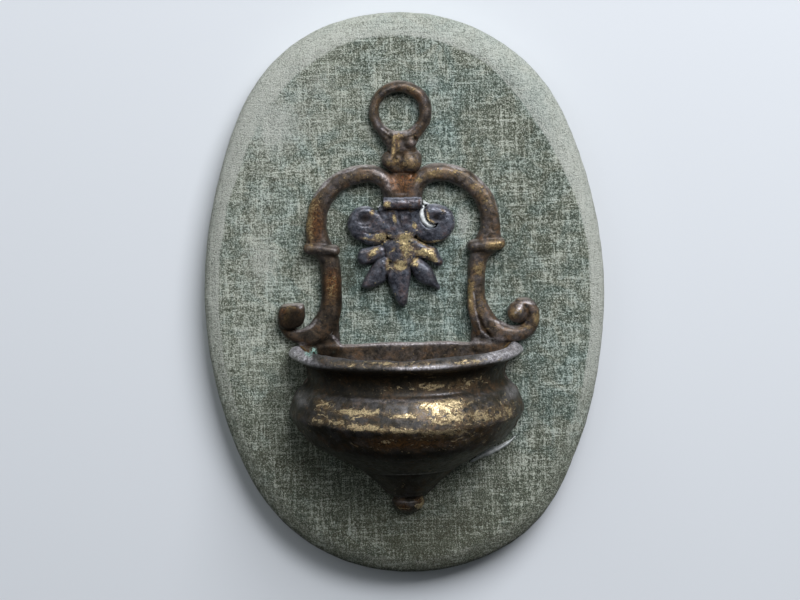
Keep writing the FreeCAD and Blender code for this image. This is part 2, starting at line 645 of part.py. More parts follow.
def ring_casting():
    """Ring, neck and knop in one piece, before it is bored for its dowel."""
    depth = PANEL_DEPTH + KNOP_PROUD
    knop = ball(0, depth, KNOP_Z, KNOP_BUD_RADIUS)
    for side in (-1, 1):
        knop = knop.fuse(ball(side * KNOP_LOBE_OFFSET, depth, KNOP_Z, KNOP_LOBE_RADIUS))
    hole = rod(0, RING_Z, RING_HOLE_RADIUS, PANEL_DEPTH - 1.0, PANEL_DEPTH + RING_THICK + 1.0)
    return ring_eye().fuse(ring_neck().cut(hole)).fuse(knop)


def dowel(slack):
    """Iron dowel up the middle of the crotch into the knop."""
    length = DOWEL_TOP_Z - DOWEL_FOOT_Z + 2 * slack
    return Part.makeCylinder(DOWEL_RADIUS + slack, length,
                             at(0, CAST_MIDDLE, DOWEL_FOOT_Z - slack), UP)


def make_hanging_ring():
    return ring_casting().cut(dowel(DOWEL_SLACK))


def make_ring_dowel():
    return dowel(0)


# ---- Palmette --------------------------------------------------------------------------------
def leaf(length, width, angle):
    """Pointed leaf with a rounded front, hanging from the heart and turned by an angle."""
    depth = PANEL_DEPTH
    heart = at(PALMETTE_SHIFT, depth, HEART_Z)
    middle_z = HEART_Z - length * 0.5
    tip = at(PALMETTE_SHIFT, depth, HEART_Z - length)
    left = at(PALMETTE_SHIFT - width / 2.0, depth, middle_z)
    right = at(PALMETTE_SHIFT + width / 2.0, depth, middle_z)
    outline = face([Part.Arc(heart, left, tip).toShape(), Part.Arc(tip, right, heart).toShape()])
    solid = forward(outline, PALMETTE_THICK)
    crown = Part.makeCylinder(LEAF_CROWN, length, heart + FRONT * (PALMETTE_THICK - LEAF_CROWN), DOWN)
    solid = solid.common(crown)
    solid.rotate(heart, FRONT, angle)
    return solid


def palmette_volute(side):
    x = PALMETTE_SHIFT + side * VOLUTE_OFFSET
    z = ROLL_Z - VOLUTE_DROP
    front = PANEL_DEPTH + PALMETTE_THICK
    disc = round_front(rod(x, z, VOLUTE_RADIUS, PANEL_DEPTH, front), front, CAST_ROUNDING)
    return disc.fuse(ball(x, front - VOLUTE_EYE_RADIUS / 2.0, z, VOLUTE_EYE_RADIUS))


def palmette_roll():
    """Binding roll in front of the stem, with the tongue that carries the leaves."""
    axis_depth = PANEL_DEPTH + LAP_THICK + ROLL_RADIUS
    roll = Part.makeCylinder(ROLL_RADIUS, 2 * ROLL_HALF_WIDTH,
                             at(-ROLL_HALF_WIDTH, axis_depth, ROLL_Z), RIGHT)
    saddle = block(-ROLL_HALF_WIDTH, ROLL_HALF_WIDTH, PANEL_DEPTH + LAP_THICK, axis_depth,
                   ROLL_Z - ROLL_RADIUS, ROLL_Z + ROLL_RADIUS)
    tongue = block(PALMETTE_SHIFT - VOLUTE_RADIUS, PALMETTE_SHIFT + VOLUTE_RADIUS, PANEL_DEPTH,
                   PANEL_DEPTH + PALMETTE_THICK, HEART_Z, ROLL_Z - ROLL_RADIUS)
    return roll.fuse(saddle).fuse(tongue)


def palmette_rivet(slack):
    """Rivet from the back of the stem up into the roll."""
    reach = LAP_THICK + ROLL_RADIUS
    shank = rod(0, ROLL_Z, RIVET_RADIUS + slack, PANEL_DEPTH, PANEL_DEPTH + reach + slack)
    head = rod(0, ROLL_Z, RIVET_HEAD_RADIUS + slack, PANEL_DEPTH, PANEL_DEPTH + RIVET_HEAD_THICK + slack)
    return shank.fuse(head)


def make_palmette():
    body = palmette_roll()
    front = PANEL_DEPTH + PALMETTE_THICK
    heart_z = HEART_Z + HEART_RISE
    disc = rod(PALMETTE_SHIFT, heart_z, HEART_RADIUS, PANEL_DEPTH, front)
    heart = round_front(disc, front, CAST_ROUNDING)
    pieces = [heart]
    for side in (-1, 1):
        pieces.append(palmette_volute(side))
    for turn, length, width in LEAVES:
        pieces.append(leaf(length, width, turn))
        if turn:
            pieces.append(leaf(length, width, -turn))
    body = body.fuse(pieces)
    body = body.cut(lap_space(PANEL_DEPTH, PANEL_DEPTH + LAP_THICK))
    return body.cut(palmette_rivet(RIVET_SLACK)).removeSplitter()


def make_palmette_rivet():
    return palmette_rivet(0)


# ---- Hanger ----------------------------------------------------------------------------------
def make_hanger_loop():
    """D-shaped wire loop, hanging down from its bar."""
    depth = BARREL_DEPTH
    z = HANGER_HEIGHT
    corner_x = LOOP_HALF_WIDTH - LOOP_CORNER
    bow_z = z - LOOP_CORNER - LOOP_STRAIGHT
    path = Part.Wire([
        line(at(-corner_x, depth, z), at(corner_x, depth, z)),
        arc(corner_x, z - LOOP_CORNER, LOOP_CORNER, 90, 0, depth),
        line(at(LOOP_HALF_WIDTH, depth, z - LOOP_CORNER), at(LOOP_HALF_WIDTH, depth, bow_z)),
        arc(0, bow_z, LOOP_HALF_WIDTH, 0, -180, depth),
        line(at(-LOOP_HALF_WIDTH, depth, bow_z), at(-LOOP_HALF_WIDTH, depth, z - LOOP_CORNER)),
        arc(-corner_x, z - LOOP_CORNER, LOOP_CORNER, 180, 90, depth)])
    section = Part.Wire(Part.makeCircle(LOOP_WIRE_RADIUS, at(-corner_x, depth, z), RIGHT))
    return path.makePipeShell([section], True, True)


def make_hanger_tab():
    barrel = Part.makeCylinder(BARREL_RADIUS, 2 * TAB_HALF_WIDTH,
                               at(-TAB_HALF_WIDTH, BARREL_DEPTH, HANGER_HEIGHT), RIGHT)
    plate = block(-TAB_HALF_WIDTH, TAB_HALF_WIDTH, POCKET_DEPTH - TAB_THICK, POCKET_DEPTH,
                  HANGER_HEIGHT - TAB_LENGTH, HANGER_HEIGHT)
    bore = Part.makeCylinder(LOOP_WIRE_RADIUS + HINGE_SLACK, 4 * TAB_HALF_WIDTH,
                             at(-2 * TAB_HALF_WIDTH, BARREL_DEPTH, HANGER_HEIGHT), RIGHT)
    return barrel.fuse(plate).cut(bore).cut(hanger_nail_solids())


def hanger_nail(z):
    seat = POCKET_DEPTH - TAB_THICK
    head = rod(0, z, NAIL_HEAD_RADIUS, seat - NAIL_HEAD_THICK, seat)
    return head.fuse(rod(0, z, NAIL_RADIUS, seat, PANEL_DEPTH - VELVET_THICK - NAIL_COVER))


def hanger_nail_solids():
    first = HANGER_HEIGHT - NAIL_DROP
    return group([hanger_nail(first), hanger_nail(first - NAIL_PITCH)])


# ---- Glue ------------------------------------------------------------------------------------
def glue_arc(x, z, radius, start, end):
    """Low bead of glue on the velvet, outside a curved edge of a casting."""
    outer = radius + GLUE_WIDTH
    outline = [arc(x, z, radius, start, end, PANEL_DEPTH),
               line(polar(x, z, radius, end, PANEL_DEPTH), polar(x, z, outer, end, PANEL_DEPTH)),
               arc(x, z, outer, end, start, PANEL_DEPTH),
               line(polar(x, z, outer, start, PANEL_DEPTH), polar(x, z, radius, start, PANEL_DEPTH))]
    return forward(face(outline), GLUE_PROUD)


def bowl_glue():
    """Bead along the right underside of the bowl."""
    start = at(KEEL_RADIUS, PANEL_DEPTH, RIM_HEIGHT - KEEL_FALL)
    end = at(LINE_RADIUS, PANEL_DEPTH, RIM_HEIGHT - LINE_FALL)
    out = FreeCAD.Vector(GLUE_WIDTH, 0, -GLUE_WIDTH)
    strip = face([line(start, end), line(end, end + out), line(end + out, start + out),
                  line(start + out, start)])
    return forward(strip, GLUE_PROUD).cut(bowl_outside())


def make_glue_beads():
    x = PALMETTE_SHIFT + VOLUTE_OFFSET
    z = ROLL_Z - VOLUTE_DROP
    return group([bowl_glue(),
                  glue_arc(x, z, VOLUTE_RADIUS, 90, GLUE_ARC_END),
                  glue_arc(2 * PALMETTE_SHIFT - x, z, VOLUTE_RADIUS, 180 - GLUE_ARC_END, 100)])


PARTS = {
    "scroll_frame": make_scroll_frame,
    "bowl_shell": make_bowl_shell,
    "brazed_seam": make_brazed_seam,
    "drop_finial": make_drop_finial,
    "hanging_ring": make_hanging_ring,
    "ring_dowel": make_ring_dowel,
    "palmette": make_palmette,
    "palmette_rivet": make_palmette_rivet,
    "glue_beads": make_glue_beads,
    "oval_board": make_oval_board,
    "velvet_cover": make_velvet_cover,
    "velvet_tacks": make_velvet_tacks,
    "infill_card": make_infill_card,
    "back_lining": make_back_lining,
    "mounting_screws": make_mounting_screws,
    "screw_washers": make_screw_washers,
    "hanger_tab": make_hanger_tab,
    "hanger_loop": make_hanger_loop,
    "hanger_nails": hanger_nail_solids,
}


def main():
    os.makedirs("parts", exist_ok=True)
    for name, make in PARTS.items():
        shape = make()
        shape.exportStep("parts/%s.step" % name)
        print("%-16s solids %2d  valid %s  volume %10.2f mm3" % (
            name, len(shape.Solids), shape.isValid(), shape.Volume))


main()
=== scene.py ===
"""Looks of a wall-hung holy water stoup: old gilt bronze castings on an oval velvet panel."""
import logging
import math
from dataclasses import dataclass
from itertools import starmap
from typing import Iterable, NamedTuple, Sequence

import bmesh
import bpy
import numpy as np
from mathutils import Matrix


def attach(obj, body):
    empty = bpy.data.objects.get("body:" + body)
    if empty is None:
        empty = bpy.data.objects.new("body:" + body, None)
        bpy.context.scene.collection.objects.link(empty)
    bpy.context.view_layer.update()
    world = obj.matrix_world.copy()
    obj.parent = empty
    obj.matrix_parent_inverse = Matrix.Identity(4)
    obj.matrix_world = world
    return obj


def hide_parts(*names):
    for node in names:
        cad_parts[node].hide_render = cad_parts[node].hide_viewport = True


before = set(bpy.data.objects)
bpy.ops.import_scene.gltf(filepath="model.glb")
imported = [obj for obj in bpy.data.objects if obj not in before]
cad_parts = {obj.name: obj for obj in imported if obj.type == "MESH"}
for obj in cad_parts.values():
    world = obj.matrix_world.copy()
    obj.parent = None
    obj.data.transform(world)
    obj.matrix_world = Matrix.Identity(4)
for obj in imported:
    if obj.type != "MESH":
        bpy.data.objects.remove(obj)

import openvdb
from mathutils import Quaternion, Vector
from mathutils.geometry import delaunay_2d_cdt

LOG = logging.getLogger("stoup")
MM = 0.001                  # one millimetre, in Blender's metres
VELVET_FACE = 13.8          # depth of the velvet's face in front of the wall
BODY = "plaque"             # the CAD body that all the fixed pieces ride on
Colour = tuple[float, float, float]
Rows = Sequence[Sequence[float]]
Socket = bpy.types.NodeSocket


def tint(*levels: int) -> Colour:
    """Linear colour from everyday red, green and blue from 0 to 255, by the sRGB curve."""
    shares = [level / 255.0 for level in levels]
    return tuple(s / 12.92 if s <= 0.04045 else ((s + 0.055) / 1.055) ** 2.4 for s in shares)


class Mark(NamedTuple):
    """A soft-edged spot on a casting, in millimetres and degrees, seen from the front."""
    x: float
    z: float
    wide: float
    tall: float
    amount: float = 1.0
    turn: float = 0.0


# ---- Noise and curves ------------------------------------------------------------------------
def cell_values(cells: np.ndarray, seed: int) -> np.ndarray:
    """One number from 0 to 1 for each whole-numbered cell.

    Args:
        cells: Rows of three whole numbers.
        seed: Picks the set of numbers.

    Returns:
        A number for each row.
    """
    mix = (cells[:, 0] * 374761393 + cells[:, 1] * 668265263 + cells[:, 2] * 1440662683 + seed * 69069)
    mix = mix & 0xFFFFFFFF
    mix = ((mix ^ (mix >> 13)) * 1274126177) & 0xFFFFFFFF
    mix = mix ^ (mix >> 16)
    return (mix & 0xFFFFFF) / float(0xFFFFFF)


def smooth_noise(points: np.ndarray, size: float, seed: int) -> np.ndarray:
    """Noise from -1 to 1.

    Args:
        points: Rows of three coordinates.
        size: About how wide its bumps are.
        seed: Picks the pattern.

    Returns:
        A number for each point.
    """
    scaled = points / size
    base = np.floor(scaled)
    part = scaled - base
    part = part * part * (3.0 - 2.0 * part)
    base = base.astype(np.int64)
    total = np.zeros(len(points))
    for corner in range(8):
        step = np.array([corner & 1, (corner >> 1) & 1, corner >> 2])
        weight = np.prod(np.where(step, part, 1.0 - part), axis=1)
        total += weight * cell_values(base + step, seed)
    return total * 2.0 - 1.0


def rough_noise(points: np.ndarray, size: float, layers: int, seed: int) -> np.ndarray:
    """Several layers of smooth noise, each half as large and half as strong as the last."""
    return sum(smooth_noise(points, size / 2 ** n, seed + n) / 2 ** n for n in range(layers))


def flat_noise(plan: np.ndarray, size: float, layers: int, seed: int) -> np.ndarray:
    """Layers of noise for rows of only two coordinates."""
    return rough_noise(np.column_stack([plan, plan[:, :1] * 0]), size, layers, seed)


def bell(x: np.ndarray, z: np.ndarray, spot: Sequence[float]) -> np.ndarray:
    """A soft spot that is 1 high; it is given by its middle's x and z, its width and its height."""
    return np.exp(-((x - spot[0]) / spot[2]) ** 2 - ((z - spot[1]) / spot[3]) ** 2)


def curved(points: Rows, steps: int = 8) -> np.ndarray:
    """A smooth run through rows of numbers, on every column alike.

    Args:
        points: The rows to pass through.
        steps: New rows for each gap.

    Returns:
        The finer rows.
    """
    rows = np.array(points, float)
    rows = np.vstack([2 * rows[0] - rows[1], rows, 2 * rows[-1] - rows[-2]])
    made = []
    for n in range(1, len(rows) - 2):
        a, b, c, d = rows[n - 1:n + 3]
        for t in np.arange(steps) / steps:
            made.append(0.5 * (2 * b + (c - a) * t + (2 * a - 5 * b + 4 * c - d) * t ** 2
                               + (3 * b - a - 3 * c + d) * t ** 3))
    made.append(rows[-2])
    return np.array(made)


def looped(points: Rows, steps: int = 6) -> np.ndarray:
    """A smooth closed run through rows of numbers."""
    rows = [*points[-2:], *points, *points[:2]]
    return curved(rows, steps)[2 * steps:-2 * steps]


def flipped(rows: Rows) -> list[tuple[float, ...]]:
    """The same rows on the left side."""
    return [(-row[0], *row[1:]) for row in rows]


# ---- Objects ---------------------------------------------------------------------------------
def placed(name: str, data: bpy.types.ID) -> bpy.types.Object:
    """A new object in the scene.

    Args:
        name: The object's name.
        data: The mesh, camera or lamp that it is.

    Returns:
        The object.
    """
    made = bpy.data.objects.new(name, data)
    bpy.context.scene.collection.objects.link(made)
    return made


def settle(piece: bpy.types.Object, nodes: Sequence[str]) -> bpy.types.Object:
    """Let a finished piece ride on the panel's body and hide what it stands for.

    Args:
        piece: The finished piece.
        nodes: The CAD nodes that it replaces.

    Returns:
        The same piece.
    """
    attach(piece, BODY)
    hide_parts(*nodes)
    LOG.info("%-22s %6d faces, rides on %s", piece.name, len(piece.data.polygons), BODY)
    return piece


# ---- A casting's mesh and its wear -------------------------------------------------------------
class Casting:
    """A closed mesh in millimetres with values on its points, on its way to a Blender object."""
    EDGE_GAIN = 1.6             # how soon a bend outwards counts as a worn edge, which also gets a painted edge highlight
    HOLLOW_GAIN = 3.2           # how soon a bend inwards counts as a corner
    DUST_AND_TOP_LIGHT = (0.76, 0.2)         # upward share of a face where dust and a painted top light start, and how soon they are full
    DEEPEST_MARK = 1.5

    def __init__(self, name: str, points: np.ndarray, quads: np.ndarray) -> None:
        """Keep the mesh and work out which points share an edge.

        Args:
            name: Name of the object to come.
            points: Rows of x, y and z.
            quads: Rows of four point numbers; a triangle repeats one of its own.
        """
        self.name = name
        self.points = np.asarray(points, float)
        self.quads = np.asarray(quads, np.int64)
        self.values: dict[str, np.ndarray] = {}
        pairs = np.concatenate([self.quads[:, [n, (n + 1) % 4]] for n in range(4)])
        pairs = np.unique(np.sort(pairs, axis=1), axis=0)
        self.ends = pairs[pairs[:, 0] != pairs[:, 1]]
        self.degree = np.maximum(np.bincount(self.ends.ravel(), minlength=len(self.points)), 1)

    def spread(self, values: np.ndarray) -> np.ndarray:
        """Mean of each point's neighbours.

        Args:
            values: A number or a row of numbers for each point.

        Returns:
            The means, in the same form.
        """
        if values.ndim > 1:
            return np.stack([self.spread(column) for column in values.T], axis=1)
        a, b = self.ends.T
        count = len(self.points)
        return (np.bincount(a, values[b], count) + np.bincount(b, values[a], count)) / self.degree

    def relax(self, times: int, share: float = 0.5) -> None:
        """Smooth the surface without shrinking it much.

        Args:
            times: Rounds of smoothing.
            share: How far each round moves a point.
        """
        for _ in range(times):
            for pull in (share, -share * 1.04):
                self.points = self.points + (self.spread(self.points) - self.points) * pull

    def normals(self) -> np.ndarray:
        """Outward direction at each point.

        Returns:
            Rows of x, y and z.
        """
        corner = self.points[self.quads]
        across = np.cross(corner[:, 2] - corner[:, 0], corner[:, 3] - corner[:, 1])
        total = np.zeros_like(self.points)
        for n in range(4):
            for axis in range(3):
                total[:, axis] += np.bincount(self.quads[:, n], across[:, axis], len(total))
        return total / np.maximum(np.linalg.norm(total, axis=1), 1e-9)[:, None]

    def roughen(self, amount: float, size: float, seed: int) -> None:
        """Push the surface in and out by uneven amounts, with bumps of about a size."""
        push = rough_noise(self.points, size, 2, seed) * amount
        self.points = self.points + self.normals() * push[:, None]

    def weather(self, reach: int) -> None:
        """Store how much each point sticks out (edge), lies in a corner (hollow) or faces up (dust, which
        also stands for a painted top light).

        Args:
            reach: How many points away the wear of an edge reaches.
        """
        normals = self.normals()
        gap = np.linalg.norm(self.points[self.ends[:, 0]] - self.points[self.ends[:, 1]], axis=1).mean()
        wide = ((self.spread(self.points) - self.points) * normals).sum(axis=1) / gap ** 2
        for _ in range(reach):
            wide = self.spread(wide)
        self.values["edge"] = np.clip(-wide * self.EDGE_GAIN, 0, 1)
        for _ in range(reach * 2):
            wide = self.spread(wide)
        self.values["hollow"] = np.clip(wide * self.HOLLOW_GAIN, 0, 1)
        # Faces that look up get dust and also a painted top light: the light from above is painted into the
        # colour.
        start, span = self.DUST_AND_TOP_LIGHT
        self.values["dust"] = np.clip((self.spread(normals[:, 2]) - start) / span, 0, 1)

    def mark(self, name: str, marks: Rows, start: float = 0.0) -> None:
        """Store a value that is highest at the given spots.

        Args:
            name: Name of the value.
            marks: Rows of a Mark's fields.
            start: Value away from them all.
        """
        total = np.full(len(self.points), start)
        for spot in starmap(Mark, marks):
            turn = math.radians(spot.turn)
            dx, dz = self.points[:, 0] - spot.x, self.points[:, 2] - spot.z
            along = dx * math.cos(turn) + dz * math.sin(turn)
            across = dz * math.cos(turn) - dx * math.sin(turn)
            near = np.exp(-(along / spot.wide) ** 2 - (across / spot.tall) ** 2)
            total = total + spot.amount * near
        self.values[name] = np.clip(total, 0.0, self.DEEPEST_MARK)

    def darken(self, marks: Rows) -> None:
        """Add darkening at the given spots to what lies in the corners; in the bowl's mouth and under its
        lip and belly it is painted shade.

        Args:
            marks: Rows of a Mark's fields.
        """
        corners = self.values["hollow"]
        self.mark("hollow", marks)
        self.values["hollow"] = np.clip(self.values["hollow"] + corners, 0, 1)

    def to_object(self, material: bpy.types.Material, node: str, slot: str) -> bpy.types.Object:
        """Make the Blender object that stands for a CAD node.

        Args:
            material: Its finish.
            node: The CAD node that it replaces.
            slot: The record's material slot; not used.

        Returns:
            The object, riding on the panel's body.
        """
        mesh = bpy.data.meshes.new(self.name)
        faces = [list(dict.fromkeys(face)) for face in self.quads.tolist()]
        mesh.from_pydata((self.points * MM).tolist(), [], faces)
        mesh.polygons.foreach_set("use_smooth", [True] * len(mesh.polygons))
        mesh.materials.append(material)
        for name, value in self.values.items():
            layer = mesh.attributes.new(name, "FLOAT", "POINT")
            layer.data.foreach_set("value", value.astype(np.float32))
        return settle(placed(self.name, mesh), [node])


# ---- Modelling block for the castings ----------------------------------------------------------
class Clay:
    """A block of distances to a surface, in millimetres, from which a casting is modelled."""
    EMPTY = 4.0                 # distance in an untouched block
    BAND = 3.0                  # distances that are kept on each side of the surface
    DOME_REACH = 1.4            # how far a relief's top falls away towards its edge

    def __init__(self, low: Sequence[float], high: Sequence[float], pitch: float) -> None:
        """Lay out the block.

        Args:
            low: Its lowest x, depth and z.
            high: Its highest x, depth and z.
            pitch: Gap between its places.
        """
        self.low = np.array(low, float)
        self.pitch = pitch
        counts = np.ceil((np.array(high, float) - self.low) / pitch).astype(int) + 1
        x, depth, z = (self.low[n] + pitch * np.arange(counts[n]) for n in range(3))
        self.x, self.depth, self.z = x[:, None, None], depth[None, :, None], z[None, None, :]
        self.plan_x, self.plan_z = x[:, None] + 0 * z[None, :], z[None, :] + 0 * x[:, None]
        self.field = np.full(counts, self.EMPTY)

    def nearest(self, path: np.ndarray) -> tuple[np.ndarray, list[np.ndarray]]:
        """Find the nearest place on a path for each place in plan.

        Args:
            path: Rows of x, z and any other columns.

        Returns:
            The distances, and the path's other columns at the nearest places.
        """
        best = np.full(self.plan_x.shape, 1e9)
        where = np.zeros(self.plan_x.shape)
        for n in range(len(path) - 1):
            ax, az = path[n, :2]
            bx, bz = path[n + 1, :2] - path[n, :2]
            length = max(bx * bx + bz * bz, 1e-9)
            share = np.clip(((self.plan_x - ax) * bx + (self.plan_z - az) * bz) / length, 0, 1)
            away = (self.plan_x - ax - share * bx) ** 2 + (self.plan_z - az - share * bz) ** 2
            closer = away < best
            best = np.where(closer, away, best)
            where = np.where(closer, n + share, where)
        steps = np.arange(len(path))
        return np.sqrt(best), [np.interp(where, steps, column) for column in path[:, 2:].T]

    def inside(self, outline: np.ndarray) -> np.ndarray:
        """Tell which places in plan lie inside a closed outline.

        Args:
            outline: Rows of x and z.

        Returns:
            True or false for each place in plan.
        """
        found = np.zeros(self.plan_x.shape, bool)
        for (ax, az), (bx, bz) in zip(outline, np.roll(outline, -1, axis=0)):
            if az != bz:
                crossed = (az > self.plan_z) != (bz > self.plan_z)
                found ^= crossed & (self.plan_x < (bx - ax) * (self.plan_z - az) / (bz - az) + ax)
        return found

    def slab(self, flat: np.ndarray, rise: np.ndarray | float, edge: float = 1.4,
             dome: float = 0.5) -> np.ndarray:
        """Distances to a low relief with a flat, slightly domed top and rounded edges.

        Args:
            flat: Distance in plan to its outline, negative inside.
            rise: Height of its top above the velvet.
            edge: Radius of its edge.
            dome: How much lower the top is at its edge.

        Returns:
            Distances over the block.
        """
        top = (rise - dome * np.exp(np.minimum(flat, 0.0) / self.DOME_REACH))[:, None, :]
        side, up = flat[:, None, :] + edge, self.depth - VELVET_FACE - top + edge
        return np.minimum(np.maximum(side, up), 0) + np.hypot(np.maximum(side, 0), np.maximum(up, 0)) - edge

    def leaf(self, outline: Rows, rise: float, edge: float = 1.4, dome: float = 0.5,
             grow: float = 0.0) -> np.ndarray:
        """Distances to a low relief inside a smooth closed outline.

        Args:
            outline: Points of x and z.
            rise: Height of its top above the velvet.
            edge: Radius of its edge.
            dome: How much lower the top is at its edge.
            grow: How far it reaches past the outline.

        Returns:
            Distances over the block.
        """
        ring = looped(outline)
        away, _ = self.nearest(np.vstack([ring, ring[:1]]))
        return self.slab(np.where(self.inside(ring), -away, away) - grow, rise, edge, dome)

    def trench(self, rows: Rows) -> np.ndarray:
        """Distances to an upright cut; rows of x, z, half width and height of its floor."""
        away, (half, floor) = self.nearest(curved(rows, 6))
        return np.maximum((away - half)[:, None, :], VELVET_FACE + floor[:, None, :] - self.depth)

    def bar(self, rows: Rows, edge: float = 2.0, dome: float = 0.6) -> np.ndarray:
        """Distances to a bar that lies on the velvet.

        Args:
            rows: Points of its path: x, z, half width and height above the velvet.
            edge: Radius of its edge.
            dome: How much lower its top is at its edge.

        Returns:
            Distances over the block.
        """
        away, (half, rise) = self.nearest(curved(rows))
        return self.slab(away - half, rise, edge, dome)

    def tube(self, rows: Rows) -> np.ndarray:
        """Distances to a round tube.

        Args:
            rows: Points of its path: x, z, radius and height of its middle above the velvet.

        Returns:
            Distances over the block.
        """
        away, (radius, middle) = self.nearest(curved(rows, 6))
        up = self.depth - VELVET_FACE - middle[:, None, :]
        return np.hypot(away[:, None, :], up) - radius[:, None, :]

    def knob(self, x: float, z: float, radius: float, proud: float, tall: float = 0.0) -> np.ndarray:
        """Distances to a ball or an upright egg.

        Args:
            x: Its middle.
            z: Its middle.
            radius: Half its width.
            proud: Height of its front above the velvet.
            tall: Half its height, where that isn't the same.

        Returns:
            Distances over the block.
        """
        tall = tall or radius
        thick = min(radius, tall)
        away = ((self.x - x) / radius) ** 2 + ((self.z - z) / tall) ** 2
        away = away + ((self.depth - VELVET_FACE - proud + thick) / thick) ** 2
        return (np.sqrt(away) - 1.0) * thick

    def add(self, shape: np.ndarray, blend: float = 0.8) -> None:
        """Join a shape to the block with a fillet of about the blend's size."""
        share = np.clip(0.5 + 0.5 * (self.field - shape) / blend, 0, 1)
        self.field = self.field + (shape - self.field) * share - blend * share * (1 - share)

    def cut(self, shape: np.ndarray, blend: float = 0.4) -> None:
        """Take a shape out of the block, with softened edges."""
        share = np.clip(0.5 - 0.5 * (self.field + shape) / blend, 0, 1)
        self.field = self.field + (-shape - self.field) * share + blend * share * (1 - share)

    def add_bars(self, paths: Iterable[Rows], edge: float, dome: float, blend: float) -> None:
        """Join several bars to the block."""
        for rows in paths:
            self.add(self.bar(rows, edge, dome), blend)

    def groove(self, blend: float, *paths: Rows) -> None:
        """Take tubes out of the block."""
        for rows in paths:
            self.cut(self.tube(rows), blend)

    def cast(self, name: str, relax: int, skins: Rows) -> Casting:
        """Flatten the back against the velvet, skin the block with faces and age its surface.

        Args:
            name: Name of the casting.
            relax: Rounds of smoothing.
            skins: Rows of amount, size and seed of the unevenness, laid on in turn.

        Returns:
            The casting.
        """
        self.field = np.maximum(self.field, VELVET_FACE - self.depth)
        grid = openvdb.FloatGrid()
        grid.background = self.BAND
        grid.copyFromArray(np.clip(self.field, -self.BAND, self.BAND).astype(np.float32))
        points, quads = grid.convertToQuads(isovalue=0.0)
        x, depth, z = (points.astype(float) * self.pitch + self.low).T
        casting = Casting(name, np.stack([x, -depth, z], axis=1), quads[:, ::-1])
        casting.relax(relax)
        for amount, size, seed in skins:
            casting.roughen(amount, size, seed)
        return casting


# ---- Node trees --------------------------------------------------------------------------------
class Wiring:
    """A node tree, built by short calls.  Plain numbers go straight on to the sockets."""

    def __init__(self, tree: bpy.types.NodeTree) -> None:
        """Start with an empty tree."""
        self.tree = tree
        self.tree.nodes.clear()

    def node(self, kind: str, inputs: dict | None = None, **settings: object) -> bpy.types.Node:
        """Add a node.

        Args:
            kind: Its type.
            inputs: What goes into its sockets, by name or number.
            **settings: Its other settings.

        Returns:
            The node.
        """
        made = self.tree.nodes.new(kind)
        for key, value in settings.items():
            setattr(made, key, value)
        for key, value in (inputs or {}).items():
            self.feed(made.inputs[key], value)
        return made

    def feed(self, socket: Socket, value: object) -> None:
        """Give a socket what it needs.

        Args:
            socket: The socket.
            value: Another socket to link, a number or a colour.
        """
        if isinstance(value, Socket):
            self.tree.links.new(value, socket)
        elif socket.type == "RGBA":
            socket.default_value = (*value, 1.0)
        else:
            socket.default_value = value

    def math(self, operation: str, a: object, b: object = 0.5, clamp: bool = False) -> Socket:
        """Arithmetic on two values."""
        return self.node("ShaderNodeMath", {0: a, 1: b}, operation=operation, use_clamp=clamp).outputs[0]

    def plus(self, a: object, b: object, clamp: bool = False) -> Socket:
        """Sum of two values."""
        return self.math("ADD", a, b, clamp)

    def minus(self, a: object, b: object, clamp: bool = False) -> Socket:
        """Difference of two values."""
        return self.math("SUBTRACT", a, b, clamp)

    def times(self, a: object, b: object, clamp: bool = False) -> Socket:
        """Product of two values."""
        return self.math("MULTIPLY", a, b, clamp)


